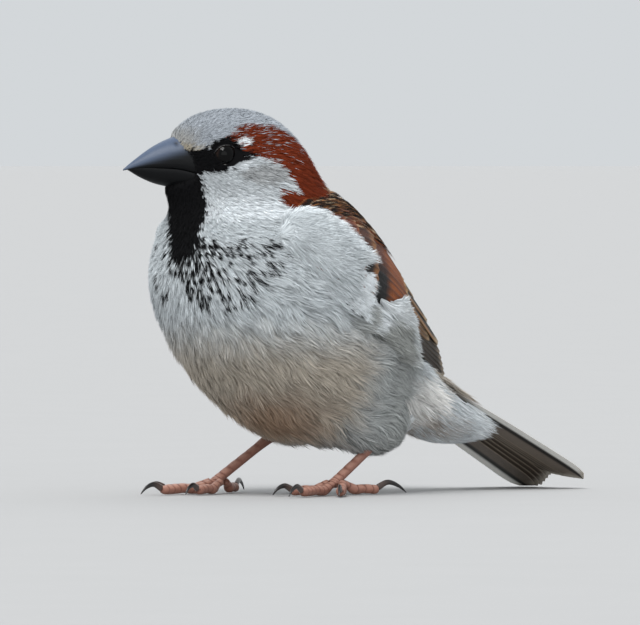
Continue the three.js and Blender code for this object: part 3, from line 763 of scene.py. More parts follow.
@dataclass
class Coat:
    """The skin, and the tufts that lie over it."""

    body: Body = field(default_factory=Body)
    marks: Markings = field(default_factory=Markings)
    seed: int = 7
    tail_way: tuple = (0.108, 0.879, -0.465)
    vent: tuple = (4, 50, 13)
    ankles: tuple = ((11.7, 21.8, 13.6), (-10.5, 11.2, 13.6))
    ragged: float = 0.35  # how far the edges of the markings wander, in millimetres
    # By distance from the bill's root, in millimetres: the coat's depth, the tufts' length and their spacing.
    depth: tuple = ((2, 0.35), (8, 0.6), (16, 0.9), (30, 1.6), (50, 2.2))
    length: tuple = ((1, 1.0), (5, 1.7), (12, 2.7), (20, 3.8), (32, 6.0), (50, 8.0), (80, 9.0))
    spacing: tuple = ((1, 0.27), (6, 0.32), (14, 0.41), (24, 0.60), (36, 0.88), (60, 1.0))
    wings: dict = field(default_factory=dict)

    def __post_init__(self) -> None:
        """Works out the surface's grid once."""
        self.rng = np.random.default_rng(self.seed)
        self.points, self.shares, self.turns = self.body.grid()
        self.out = self.body.field(self.points)[1]

    def unwrapped(self, points: Array) -> Array:
        """Places on the skin's unwrap of the surface's points that lie nearest."""
        near = self.points[::2, ::2]
        flat = near.reshape(-1, 3)
        far = (flat**2).sum(1)
        found = np.concatenate([(far - 2 * part @ flat.T).argmin(1) for part in np.array_split(points, 12)])
        row, column = np.divmod(found, near.shape[1])
        return np.stack([self.turns[::2][column], self.shares[::2][row]], -1)

    def from_bill(self, points: Array) -> Array:
        """Distance from the root of the bill."""
        return np.linalg.norm(points - self.body.head.place(12.5, 0, 0.5), axis=-1)

    def bare(self, points: Array) -> Array:
        """True where no tuft grows: under the bill, over the eyes and under the wings."""
        f, l, u = np.moveaxis(self.body.head.seen(points), -1, 0)
        inside = (f > along(Bill().feather_line, u)) & (u > -6)
        e = self.body.head.eye
        eye = np.hypot((f - e[0]) / 2.95, (u - e[2]) / 2.5) < 1
        covered = np.zeros(f.shape, bool)
        for wing in self.wings.values():
            lift, beyond, s, w = wing.seen(points)
            covered |= (beyond < 0.6) & (lift < 4) & (s > 0.03) & (s < 0.99) & (w > 0.06) & (w < 0.97)
        return inside | (eye & (np.abs(l) > 5)) | covered

    def lie(self, points: Array, out: Array) -> Array:
        """Unit directions of the lie: away from the bill on the head, and towards the tail behind it."""
        head = self.body.head
        from_bill = unit(points - head.place(12.5, 0, 1.5))
        to_vent = unit(np.array(self.vent, float) - points)
        y = points[..., 1]
        back = to_vent + (np.array(self.tail_way) - to_vent) * ease(12, 34, y)[..., None]
        distance = np.linalg.norm(points - np.array(head.centre), axis=-1)
        way = from_bill + (unit(back) - from_bill) * ease(14, 27, distance)[..., None]
        for ankle in self.ankles:
            gap = np.array(ankle) - points
            near = ease(11, 5, np.linalg.norm(gap, axis=-1))
            way = way + (unit(gap + np.array((0, 1.5, -2.0))) - way) * near[..., None]
        swirl = self.swirl(points)[..., None]
        way = unit(way - out * (way * out).sum(-1, keepdims=True))
        return way * np.cos(swirl) + np.cross(out, way) * np.sin(swirl)

    def swirl(self, points: Array) -> Array:
        """How far the lie wanders, in radians: slow waves, stronger on the flanks."""
        x, y, z = np.moveaxis(points, -1, 0)
        waves = np.sin(0.31 * x + 0.47 * z) + np.sin(0.52 * y - 0.33 * z + 1.3)
        waves = waves + np.sin(0.9 * z + 0.4 * y + 0.7 * x)
        flank = ease(30, 42, self.from_bill(points)) * ease(40, 25, y)
        return waves * (0.05 + 0.16 * flank)

    def clumps(self, points: Array) -> Array:
        """From -1 to 1, how far the tips stand out in clumps a few millimetres wide, none on the head."""
        x, y, z = np.moveaxis(points, -1, 0)
        across = np.sin(1.25 * x + 0.5 * z + np.sin(0.7 * y))
        down = np.sin(0.95 * z - 0.6 * y + 1.5 * np.sin(0.5 * x))
        return across * down * ease(24, 36, self.from_bill(points))

    def sow(self) -> tuple[Array, Array]:
        """Roots spread evenly over the surface, as many as the spacing asks for.

        An even pair of numbers picks a ring from the rings' running total of weight, and then a place along
        that ring from its own running total. Weight is area over spacing squared, and none where it is bare.

        Returns:
            Places and their spots on the unwrap.
        """
        p = self.points
        right = np.roll(p, -1, axis=1)
        area = np.linalg.norm(np.cross(right[:-1] - p[:-1], p[1:] - p[:-1]), axis=-1)
        middle = (p[:-1] + right[:-1] + p[1:] + right[1:]) / 4
        weight = area / along(self.spacing, self.from_bill(middle)) ** 2 * ~self.bare(middle)
        count = int(weight.sum())
        rows = np.cumsum(weight.sum(1))
        k = np.arange(count)
        u1, u2 = ((0.5 + k * step) % 1 for step in EVEN_STEPS)
        at = u1 * rows[-1]
        row = np.minimum(np.searchsorted(rows, at), len(rows) - 1)
        below = rows[row] - weight.sum(1)[row]
        fr = np.clip((at - below) / np.maximum(weight.sum(1)[row], 1e-9), 0, 1)
        run = np.cumsum(weight, 1)
        run = run / np.maximum(run[:, -1:], 1e-12)
        flat = (run + np.arange(len(run))[:, None] * 2).ravel()
        cell = np.minimum(np.searchsorted(flat, u2 + row * 2) - row * self.body.sides, self.body.sides - 1)
        before = np.where(cell > 0, run[row, cell - 1], 0)
        fc = np.clip((u2 - before) / np.maximum(run[row, cell] - before, 1e-9), 0, 1)
        wrap = (cell + 1) % self.body.sides
        fr, fc = fr[:, None], fc[:, None]
        near = p[row, cell] * (1 - fc) + p[row, wrap] * fc
        far = p[row + 1, cell] * (1 - fc) + p[row + 1, wrap] * fc
        spots = np.stack([
            (cell + fc[:, 0]) / self.body.sides,
            self.shares[row] * (1 - fr[:, 0]) + self.shares[row + 1] * fr[:, 0],
        ], -1)
        return near * (1 - fr) + far * fr, spots

    def combed(self, roots: Array, spots: Array) -> Locks:
        """Lays a tuft from each root along the lie, rising from the skin to just over the surface."""
        steps = 5
        reach = along(self.length, self.from_bill(roots)) * self.rng.uniform(0.85, 1.15, len(roots))
        depth = along(self.depth, self.from_bill(roots)) + 0.15
        aside = self.rng.normal(0, 0.1, len(roots))[:, None]
        tip = 0.15 + 0.5 * self.clumps(roots)
        place, out = self.body.settled(roots, -depth)
        line, outs, sides = [place], [out], []
        for k in range(1, steps + 1):
            way = self.lie(place, out)
            way = way * np.cos(aside) + np.cross(out, way) * np.sin(aside)
            sides.append(np.cross(out, way))
            rise = (k / steps) ** 0.7
            place = place + way * (reach / steps)[:, None]
            place, out = self.body.settled(place, tip * rise - depth * (1 - rise), 2)
            line.append(place)
            outs.append(out)
        sides.append(np.cross(out, self.lie(place, out)))
        return Locks(np.stack(line, 1), np.stack(outs, 1), np.stack(sides, 1), spots)

    def skin(self) -> None:
        """One closed skin, the surface moved in by the coat's depth and tucked under the wings."""
        depth = along(self.depth, self.from_bill(self.points))
        points = self.points - self.out * depth[..., None]
        for wing in self.wings.values():
            points = wing.tucked(points)
        points = Tail().tucked(points)
        capped = lambda rows: np.concatenate([rows[:1], rows, rows[-1:]])
        shape = tube(capped(points), capped(self.marks.colour(self.points) * 0.6))
        spot = np.stack(np.broadcast_arrays(self.turns[None], self.shares[:, None]), -1).reshape(-1, 2)
        shape.place = np.concatenate([spot, [[0.5, 0], [0.5, 1]]])
        nodes = ("head", "neck", "trunk", "rump", "thigh_left", "thigh_right")
        piece("skin", shape, DOWN, nodes)

    def tint(self, locks: Locks) -> Callable:
        """The colours of plain tufts: each takes its marking at three fifths of its length."""
        n = len(locks.centre)
        spot = locks.centre[:, 3] + self.rng.normal(0, self.ragged, (n, 3))
        colour = self.marks.colour(spot) * (1 + self.rng.normal(0, 0.07, (n, 1)))
        back = self.marks.back(spot) > 0.5
        mantle_only = back & (spot[:, 1] < 30)
        ruddy = (colour[:, 0] > 2.2 * colour[:, 2]) & ~back
        flecked = 0.07 * ruddy * ease(-4, 6, self.marks.head.seen(spot)[:, 2])
        speckled = self.marks.flecks(locks.centre[:, 3]) > 0.02
        crown = self.marks.head.seen(spot)[:, 2] > 4

        def shade(row: Array, u: Array, t: Array, points: Array) -> Array:
            """Colours at u across and t along the tufts of the rows."""
            base = colour[row] * np.ones(t.shape + (3,))
            fleck = self.rng.random(u.shape[:2]) < flecked[row[..., 0]]
            base[fleck] = self.marks.ash
            ends = 0.4 * points[:, :, -2:-1] + 0.6 * points[:, :, -1:]
            some = mantle_only[row[:, 0, 0]]
            base[some] = self.marks.streaked(ends[some])
            base = base * (0.62 + 0.38 * ease(0.05, 0.5, t))[..., None]
            some = speckled[row[:, 0, 0]]
            seen = ends[some][:, :, 0]
            mark = self.marks.marked(seen)[..., None] * ease(0.15, 0.4, t[some])
            base[some] = mix(base[some], self.marks.black * 1.2, mark)
            speck = crown[row] * ease(0.7, 0.95, t) * (np.abs(u) < 0.3)
            return base * (1 - 0.3 * speck)[..., None]

        return shade

    def grow(self) -> None:
        """All the body's tufts, in pieces by region."""
        roots, spots = self.sow()
        locks = self.combed(roots, spots)
        near = self.from_bill(roots)
        head = near < 23
        left = np.where(head, self.body.head.seen(roots)[:, 1], roots[:, 0]) > 0
        behind = self.marks.back(roots) > 0.5
        rump = ~head & ((roots[:, 1] > 26) | (behind & (roots[:, 1] > 20)))
        low = ~head & ~rump & ~behind & (roots[:, 2] < 36)
        chest = ~head & ~rump & ~behind & ~low
        fine = Cut(blades=8, segments=2, width=0.052, fan=0.17, lift=0.05)
        full = Cut(blades=13, segments=3, width=0.034, fan=0.17, lift=0.05)
        regions = (
            ("head_tufts_left", head & left, fine, Slot.HEAD),
            ("head_tufts_right", head & ~left, fine, Slot.HEAD),
            ("chest_tufts_left", chest & left, full, Slot.BODY),
            ("chest_tufts_right", chest & ~left, full, Slot.BODY),
            ("belly_tufts_left", low & left, full, Slot.BODY),
            ("belly_tufts_right", low & ~left, full, Slot.BODY),
            ("mantle_tufts", behind & ~head & ~rump, full, Slot.BODY),
            ("rump_tufts", rump, full, Slot.RUMP),
        )
        for name, chosen, cut, slot in regions:
            some = locks.pick(chosen)
            piece(name, cut.shape(some, self.tint(some), self.rng), DOWN)


@dataclass
class Fluff:
    """Loose feathers that lie over the wings, round the ankles and over both faces of the tail's root."""

    coat: Coat
    cut: Cut = Cut(blades=13, segments=3, width=0.034, fan=0.19, lift=0.07)
    fine: Cut = Cut(blades=11, segments=3, width=0.032, fan=0.13, lift=0.05)
    dense: Cut = Cut(blades=21, segments=3, width=0.026, fan=0.15, lift=0.0, frizz=0.02, rough=0.08)
    # How far up the folded wing the flank's feathers reach, by share along the wing.
    reach: tuple = (
        (-0.1, -0.5), (0.06, -0.35), (0.12, -0.1), (0.2, 0.3), (0.28, 0.5), (0.385, 0.66), (0.39, 1.12),
        (0.425, 1.12), (0.44, 1.06), (0.5, 0.84), (0.54, 0.68), (0.57, 0.74), (0.61, 0.96), (0.65, 1.1),
        (0.7, 1.3), (1, 1.3),
    )
    # Where the breast's feathers end along the wing, by share across it.
    ends: tuple = (
        (0, 1.0), (0.56, 1.0), (0.6, 0.345), (0.7, 0.3), (0.82, 0.255), (0.95, 0.27), (1.06, 0.3), (1.1, 1.0),
    )

    def plain(self, colours: Array, dim: float = 0.7) -> Callable:
        """Colours of tufts that are one tone each, dimmed at the root."""

        def shade(row: Array, u: Array, t: Array, points: Array) -> Array:
            """Colours at u across and t along the tufts of the rows."""
            return colours[row] * (dim + (1 - dim) * ease(0.05, 0.5, t))[..., None]

        return shade

    def over_wing(self, wing: "Wing") -> None:
        """The breast's and flank's feathers over the wing, placed by their tips, and the shoulder's."""
        rng, marks = self.coat.rng, self.coat.marks
        s = rng.uniform(-0.02, 0.7, 10000)
        w = rng.uniform(-0.45, 1.2, 10000)
        loose = 0.03 * rng.normal(0, 1, len(s))
        keep = (w > along(self.reach, s) + loose) & ((s < along(self.ends, w) + 0.3 * loose) | (s > 0.425))
        s, w = s[keep][:2550], w[keep][:2550]
        late = ease(0.4, 0.44, s)
        turn = -0.1 - 0.75 * late * ease(0.7, 0.5, s) * ease(1.05, 0.6, w) + rng.normal(0, 0.14, len(s))
        turn = turn + 0.6 * ease(0.32, 0.02, s) * ease(0.75, 0.1, w)
        length = 6.4 + 1.6 * rng.random(len(s))
        root_s, root_w = wing.stepped(s, w, turn + 0.1 * late, -length)
        root_s = np.maximum(root_s, -0.05 - 0.02 * rng.random(len(s)))
        edge = np.minimum(ease(-0.02, 0.09, root_s), ease(1.1, 0.95, root_w))
        low, high = -1.7 + 1.8 * edge, 0.45 + 0.6 * edge * ease(0.05, 0.25, s) - 0.25 * late
        locks = wing.laid(root_s, root_w, turn, length, (low, high), self.coat)
        rim = ease(0.2, 0.0, w - along(self.reach, s))
        colour = mix(marks.flank * 1.08, marks.breast, ease(0.42, 0.25, s))
        colour = mix(colour, marks.white, np.maximum(0.85 * rim * ease(0.72, 0.6, s), 0.6 * late * (w < 1)))
        colour = colour * (1 + rng.normal(0, 0.06, (len(s), 1)))
        shape = self.cut.shape(locks, self.plain(colour), rng)
        piece(f"flank_tufts_{wing.side.word}", shape, DOWN)
        self.shoulder(wing)
        self.wing_bar(wing)

    def wing_bar(self, wing: "Wing") -> None:
        """The middle coverts' white tips, dark at the root, where the flank leaves the wing open."""
        rng, count = self.coat.rng, 110
        s, w = 0.195 + 0.07 * rng.random(count), 0.82 + 0.36 * rng.random(count)
        turn = rng.normal(0.0, 0.12, count)
        locks = wing.laid(s, w, turn, 5 + 1.5 * rng.random(count), (0.0, 0.7), self.coat)

        def shade(row: Array, u: Array, t: Array, points: Array) -> Array:
            """White from the middle of each tuft to its tip."""
            return mix(tone("14100e"), self.coat.marks.white, ease(0.45, 0.6, t))

        piece(f"wing_bar_tufts_{wing.side.word}", self.dense.shape(locks, shade, rng), DOWN)

    def shoulder(self, wing: "Wing") -> None:
        """Streaked feathers of the mantle that hang over the wing's upper edge."""
        rng = self.coat.rng
        row, column = np.meshgrid(np.arange(13), np.arange(6), indexing="ij")
        s = (0.05 + 0.031 * row + 0.008 * rng.normal(0, 1, row.shape)).ravel()
        w = (-0.24 + 0.085 * (column + 0.5 * (row % 2)) + 0.015 * rng.normal(0, 1, row.shape)).ravel()
        keep = w < 0.22 * ease(0.02, 0.2, s) * ease(0.6, 0.3, s)
        s, w = s[keep], w[keep]
        turn = 0.08 + rng.normal(0, 0.05, len(s))
        locks = wing.laid(s, w, turn, 9 + 1.5 * rng.random(len(s)), (-0.5, 0.8), self.coat)
        pick = rng.random((len(s), 1))
        pale = np.where(pick < 0.5, tone("b39b7f"), tone("8f5f38")) * (1 + rng.normal(0, 0.1, (len(s), 1)))
        pale = np.where((w[:, None] > 0.1) & (pick > 0.3), tone("81421f"), pale)
        dark = np.where(pick < 0.12, tone("5c3320"), tone("17110e"))

        def shade(row: Array, u: Array, t: Array, points: Array) -> Array:
            """A dark streak down the middle that narrows to the tip, between pale edges."""
            streak = ease(0.2, 0.0, np.abs(u) - 0.5 * ease(1.05, 0.7, t))
            return mix(pale[row], dark[row], streak) * (0.7 + 0.3 * ease(0, 0.4, t))[..., None]

        piece(f"scapular_tufts_{wing.side.word}", self.dense.shape(locks, shade, rng), DOWN)

    def round_ankles(self) -> None:
        """White tufts that close round the top of each bare shank."""
        rng, marks = self.coat.rng, self.coat.marks
        groups = []
        for ankle, joint, foot in zip(self.coat.ankles, ((12.5, 5.3, 3.3), (-12.5, -5.3, 3.3)), (8.0, 4.0)):
            down = unit(np.array(joint) - np.array(ankle))
            aside = unit(np.cross(down, (1.0, 0, 0)))
            up = np.cross(aside, down)
            a = np.linspace(0, 14 * np.pi, 150)
            ring = aside * np.cos(a)[:, None] + up * np.sin(a)[:, None]
            t = np.linspace(0, 1, 6)[None, :, None]
            start = rng.uniform(-5.0, 0.1 * foot, len(a))[:, None, None]
            reach = foot * rng.uniform(0.55, 1.0, len(a))[:, None, None] - start
            wide = 1.15 + 1.9 * (1 - t) ** 1.3 + 0.5 * rng.random((len(a), 1, 1)) * t
            line = np.array(ankle) + down * (start + reach * t) + ring[:, None] * wide
            out = unit(ring[:, None] + 0 * line + 0.3 * down)
            way = unit(np.gradient(line, axis=1))
            groups.append((line, out, unit(np.cross(out, way))))
        line, out, side = (np.concatenate(arrays) for arrays in zip(*groups))
        locks = Locks(line, out, side, self.coat.unwrapped(line[:, 0]))
        colour = mix(marks.white, marks.belly, rng.random(len(line)) * 0.5)
        piece("ankle_tufts", self.fine.shape(locks, self.plain(colour, 0.8), rng), DOWN)

    def under_tail(self, tail: "Tail") -> None:
        """Long white coverts under the tail's root, and brown-grey ones over it, that thin out along it."""
        rng, marks = self.coat.rng, self.coat.marks
        under = ((0, 8.8), (15, 9.0), (20, 8.2), (24, 6.6), (28, 4.2), (32, 1.8), (38, 0.8))
        upper = ((0, 2.2), (8, 2.0), (16, 1.3), (24, 0.7), (40, 0.6))
        groups = (("under", -1, 1100, (3, 22), under), ("upper", 1, 420, (-2, 15), upper))
        for name, sign, count, span, profile in groups:
            start = span[0] + (span[1] - span[0]) * rng.uniform(0, 1, count)
            a = rng.uniform(-1, 1, count)
            t = np.linspace(0, 1, 6)[None]
            reach = rng.uniform(7.5, 10.5, count)
            gone = start[:, None] + reach[:, None] * t
            wide = along(((0, 8.8), (20, 8.2), (32, 6.6), (42, 6.0)), gone) * a[:, None]
            roof = np.sqrt(np.clip(1 - a**2, 0, 1))[:, None]
            sunk = 1.3 * (1 - t) ** 1.5
            high = np.maximum(along(profile, gone) * (0.2 + 0.8 * roof) + 0.4 - sunk, 0.35)
            line, (aside, up) = tail.placed(gone, wide, sign * high)
            out = unit(aside * a[:, None, None] * 0.8 + up * sign * (0.35 + roof)[..., None]) + 0 * line
            way = unit(np.gradient(line, axis=1))
            locks = Locks(line, out, unit(np.cross(out, way)), self.coat.unwrapped(line[:, 0]))
            if sign < 0:
                dusky = np.hypot((start - 12) / 5, (a - 0.5) / 0.4) < 1
                colour = mix(marks.white, marks.smudge, 0.5 * dusky * rng.random(count))
            else:
                colour = mix(marks.rump, marks.vent, 0.3 * rng.random(count))
            colour = colour * (1 + rng.normal(0, 0.06, (count, 1)))
            piece(f"{name}_tail_tufts", self.fine.shape(locks, self.plain(colour), rng), DOWN)


# ---------- wings and tail ----------
@dataclass
class Vanes:
    """Wing or tail feathers that share a shape: each row is one feather's line, half widths and colours."""

    centre: Array  # feather, step, xyz
    out: Array
    side: Array
    half: Array  # feather, step: half width
    core: Array  # this colour and the others: one, or one for each feather
    edge: Array
    tip: Array
    base: Array | None = None  # the colour near the root
    based: tuple = (0.35, 0.55)  # where along it that colour ends
    web: Array | None = None  # the colour on the outer side of the shaft
    web_side: int = 1  # which way that side is
    web_seen: tuple = (1.0, 1.0)  # how much of that colour the upper and the lower face take
    shaft: float = 0.0  # where across it the shaft lies
    rim: tuple = (0.62, 0.9)  # where across the feather its edge colour starts and is full
    ended: tuple = (0.86, 0.97)  # where along it the tip colour starts and is full
    camber: float = 0.12
    thick: float = 0.14
    across: int = 9
    quill_tone: float | Array = 0.5  # the shaft's brightness beside the vane's; near black, it is also painted shadow beside the shaft
    quill_half: float = 0.12  # half the width of that tone, as a share of the half width
    streaks: float = 0.0  # how much the vane lightens and darkens in stripes along it

    def shape(self) -> Shape:
        """Closed thin vanes.

        For v from -1 to 1 across a feather, a place is its line plus side * half * v, lowered by
        camber * half * v^2, and raised along the shaft.

        Returns:
            Quads of the upper and lower faces and the rim between them.
        """
        n, k = self.half.shape
        full = np.ones((n, 2, k, self.across))
        v = np.linspace(-1, 1, self.across)
        wide = (self.half[..., None] * v)[..., None]
        sink = (self.camber * self.half[..., None] * v**2)[..., None]
        gone = np.abs(v - self.shaft)
        quill = 0.1 * np.exp(-((gone / 0.1) ** 2))[None, None, :, None]
        top = self.centre[:, :, None] + self.side[:, :, None] * wide + self.out[:, :, None] * (quill - sink)
        thick = self.thick * (1 - 0.5 * v**2)[None, None, :, None]
        under = top - self.out[:, :, None] * (thick + quill * 0.5)
        points = np.stack([top, under], 1).reshape(-1, 3)
        t = np.linspace(0, 1, k)[None, :, None]
        each = lambda tones: np.reshape(tones, (-1, 1, 1, 1, 3))
        colour = mix(each(self.core), each(self.edge), ease(*self.rim, np.abs(v)) * full)
        if self.web is not None:
            outer = ease(0.08, 0.16, (v - self.shaft) * self.web_side)
            colour = mix(colour, each(self.web), outer * np.reshape(self.web_seen, (1, 2, 1, 1)) * full)
        colour = mix(colour, each(self.tip), ease(*self.ended, t[:, None] + 0.04 * v**2) * full)
        number = np.arange(n)[:, None]
        stripes = 1 + self.streaks * np.sin(9.5 * v + 2.4 * number) * np.sin(4.1 * v + number)
        colour = colour * stripes[:, None, None, :, None]
        shaft = ease(self.quill_half, 0.3 * self.quill_half, gone) * full
        colour = mix(colour, colour * np.reshape(self.quill_tone, (-1, 1, 1, 1, 1)), shaft)
        if self.base is not None:
            colour = mix(colour, each(self.base), (1 - ease(*self.based, t[:, None])) * full)
        run = np.linalg.norm(np.diff(self.centre, axis=1), axis=-1).cumsum(1)
        run = np.concatenate([np.zeros((n, 1)), run], 1)
        barbs = np.stack([wide[..., 0], np.broadcast_to(run[..., None], wide.shape[:-1])], -1)
        barbs = np.stack([barbs, barbs], 1).reshape(-1, 2)
        inset = np.reshape([1, 0.94], (1, 2, 1, 1))  # the under face lies inside the upper one on the map
        column = (np.arange(n)[:, None, None, None] + 0.5 + 0.46 * v * inset) / n
        row = 0.5 + 0.98 * (t[:, None] - 0.5) * inset
        strip = np.stack([column * full, row * full], -1)
        return Shape(points, self.faces(n, k), colour.reshape(-1, 3), strip.reshape(-1, 2), barbs)

    def faces(self, n: int, k: int) -> Array:
        """The quads of n closed vanes of k rows."""
        j = self.across
        grid = np.arange(k * j).reshape(k, j)
        a, b, c, d = grid[:-1, :-1], grid[1:, :-1], grid[1:, 1:], grid[:-1, 1:]
        top = np.stack([a, b, c, d], -1).reshape(-1, 4)
        under = top[:, ::-1] + k * j
        loop = np.concatenate([grid[0, :-1], grid[:-1, -1], grid[-1, :0:-1], grid[:0:-1, 0]])
        after = np.roll(loop, -1)
        rim = np.stack([loop, after, after + k * j, loop + k * j], -1)
        one = np.concatenate([top, under, rim])
        return (one[None] + np.arange(n)[:, None, None] * (2 * k * j)).reshape(-1, 4)


def feather_outline(t: Array, blunt: float = 0.8, power: float = 2.4) -> Array:
    """A feather's half width from root to tip: it opens over the first fifth and rounds off after blunt."""
    opens = 0.35 + 0.65 * ease(0, 0.25, t)
    closes = np.sqrt(np.clip(1 - (np.clip((t - blunt) / (1 - blunt), 0, 1)) ** power, 0.0025, 1))
    return opens * closes


@dataclass
class Wing:
    """A folded wing: a curved sheet between two edges, with rows of feathers laid on it."""

    side: Side
    upper: Curve = Curve((
        (19.2, -15.5, 58), (17.8, -6.5, 60.9), (15.5, 4.5, 60.8), (12.5, 14.5, 56.5),
        (9.5, 23, 50), (7, 31, 43.5), (5.8, 38.5, 35.5), (6.5, 43.5, 27.5),
    ))
    lower: Curve = Curve((
        (20.4, -16.5, 54.6), (23.6, -8, 47.8), (24.8, 1, 43), (23.6, 10.5, 38),
        (20.8, 19.5, 33), (17.2, 28.5, 28.8), (12.6, 37, 25.8), (8.2, 43.8, 24.4),
    ))
    bulge: tuple = ((0, 0.6), (0.15, 2.6), (0.5, 2.2), (0.85, 1.6), (1, 0.3))
    thickness: tuple = ((0, 1.8), (0.12, 3.2), (0.4, 3.2), (0.7, 2.2), (1, 1.1))
    lean: float = 0.035  # how far the right wing swings over with the tail, for each millimetre back
    wander: float = 0.0  # a feather's random sideways bend, as a share of the wing's width
    seed: int = 21

    def __post_init__(self) -> None:
        """Keeps a grid of the sheet to find places by."""
        self.rng = np.random.default_rng(self.seed + self.side.value)
        s, w = np.meshgrid(np.linspace(0, 1, 90), np.linspace(0, 1, 26), indexing="ij")
        self.grid_s, self.grid_w = s.ravel(), w.ravel()
        self.grid = self.at(self.grid_s, self.grid_w, 0.0)
        self.grid_out = self.out(self.grid_s, self.grid_w)

    def at(self, s: Array, w: Array, lift: Array) -> Array:
        """Places on the sheet.

        The place is between the two edges at share w, pushed out by bulge * 4 w (1 - w), and then lifted
        along the sheet's own outward direction.

        Args:
            s: from the bend, 0, to the tip, 1.
            w: from the back's edge, 0, to the flank's edge, 1.
            lift: millimetres above the sheet.

        Returns:
            Places in the bird's frame.
        """
        s, w, lift = np.broadcast_arrays(np.asarray(s, float), np.asarray(w, float), np.asarray(lift, float))
        upper, lower = self.upper.at(s), self.lower.at(s)
        chord = lower - upper
        width = np.linalg.norm(chord, axis=-1, keepdims=True)
        chord = chord / width
        run = unit(self.upper.heading(s) + self.lower.heading(s))
        out = -unit(np.cross(run, chord))
        out = out * np.sign(out[..., :1])
        bulge = along(self.bulge, s)[..., None]
        w, lift = w[..., None], lift[..., None]
        tilt = 4 * bulge * (2 * w - 1) / width
        place = upper + (lower - upper) * w + out * bulge * 4 * w * (1 - w) + unit(out + chord * tilt) * lift
        if self.side is Side.RIGHT:
            swing = 2 * self.lean * np.maximum(place[..., 1], 0)
            place = np.concatenate([(swing - place[..., 0])[..., None], place[..., 1:]], -1)
        return place

    def out(self, s: Array, w: Array) -> Array:
        """The outward directions of the sheet."""
        return unit(self.at(s, w, 1.0) - self.at(s, w, 0.0))

    def seen(self, points: Array) -> tuple[Array, Array, Array, Array]:
        """Where points are from the sheet: height above it, distance aside, and nearest shares s and w."""
        flat = points.reshape(-1, 3)
        near = np.empty(len(flat), int)
        for i in range(0, len(flat), 4000):
            part = flat[i : i + 4000]
            gap = (part**2).sum(1)[:, None] - 2 * part @ self.grid.T + (self.grid**2).sum(1)
            near[i : i + 4000] = gap.argmin(1)
        offset = flat - self.grid[near]
        lift = (offset * self.grid_out[near]).sum(1)
        beyond = np.linalg.norm(offset - lift[:, None] * self.grid_out[near], axis=1)
        rest = points.shape[:-1]
        return tuple(a.reshape(rest) for a in (lift, beyond, self.grid_s[near], self.grid_w[near]))

    def tucked(self, points: Array) -> Array:
        """Points that would show through the sheet, moved to just under the feathers."""
        lift, beyond, s, w = self.seen(points)
        inner = -along(self.thickness, s) * 0.8
        push = np.clip(lift - inner, 0, None) * ease(2.5, 0.5, beyond) * (lift < 5)
        return points - self.out(s, w) * push[..., None]

    def lines(self, s: tuple, w: tuple, lift: tuple, steps: int) -> tuple[Array, Array, Array]:
        """Lines laid on the sheet from start to end shares.

        Args:
            s: arrays of the start and end shares along the wing.
            w: arrays of the start and end shares across it.
            lift: start and end heights above the sheet.
            steps: places on each line.

        Returns:
            Places, outward directions and directions to the feather's left.
        """
        t = np.linspace(0, 1, steps)
        count = len(s[0])
        column = lambda a: np.broadcast_to(np.asarray(a, float), count)[:, None]
        to = lambda pair: column(pair[0]) * (1 - t) + column(pair[1]) * t
        bend = self.wander * self.rng.normal(0, 1, (count, 1)) * t * (1 - t)
        along_wing, across_wing = to(s), to(w) + bend
        centre = self.at(along_wing, across_wing, to(lift))
        out = self.out(np.clip(along_wing, 0.01, 0.985), across_wing)
        way = unit(np.gradient(centre, axis=1))
        side = unit(np.cross(out, way))
        return centre, unit(np.cross(way, side)), side

    def stepped(self, s: Array, w: Array, turn: Array, reach: Array) -> tuple[Array, Array]:
        """Shares s and w after a straight step over the sheet.

        The sheet's two tangents, taken from places close together, turn the step's millimetres into shares.

        Args:
            s: shares along the wing before it.
            w: shares across it before it.
            turn: the step's direction, from the wing's own run towards its lower edge, in radians.
            reach: its length in millimetres.

        Returns:
            The shares after it.
        """
        inner = np.clip(s, 0.01, 0.97)
        run = np.linalg.norm(self.at(inner + 0.02, w, 0) - self.at(inner, w, 0), axis=-1)
        wide = np.linalg.norm(self.at(inner, w + 0.05, 0) - self.at(inner, w, 0), axis=-1)
        return s + np.cos(turn) * reach * 0.02 / run, w + np.sin(turn) * reach * 0.05 / wide

    def laid(self, s: Array, w: Array, turn: Array, reach: Array, lift: tuple, coat: Coat) -> Locks:
        """Tufts laid over the sheet from their own roots. One that starts before the bend lies on the body.

        Args:
            s: roots' shares along the wing.
            w: roots' shares across it.
            turn: how far each heads from the wing's own run towards its lower edge, in radians.
            reach: lengths in millimetres.
            lift: heights above the sheet at root and tip, a number or an array for each.
            coat: gives the body in front of the wing, and the roots' spots on the unwrap.

        Returns:
            The tufts.
        """
        steps = 5
        low, high = (np.broadcast_to(np.asarray(a, float), s.shape) for a in lift)
        line, outs = [], []
        for k in range(steps + 1):
            height = low + (high - low) * ease(0, 0.8, k / steps)
            before = np.minimum(s, 0)[:, None] / 0.02
            here = self.at(s, w, height) + before * (self.at(0 * s + 0.02, w, 0) - self.at(0 * s, w, 0))
            early = s < 0
            here[early] = coat.body.settled(here[early], -0.4)[0]
            line.append(here)
            outs.append(self.out(np.clip(s, 0.01, 0.98), np.clip(w, 0.02, 0.98)))
            s, w = self.stepped(s, w, turn, reach / steps)
        line, outs = np.stack(line, 1), np.stack(outs, 1)
        way = unit(np.gradient(line, axis=1))
        return Locks(line, outs, unit(np.cross(outs, way)), coat.unwrapped(line[:, 0]))

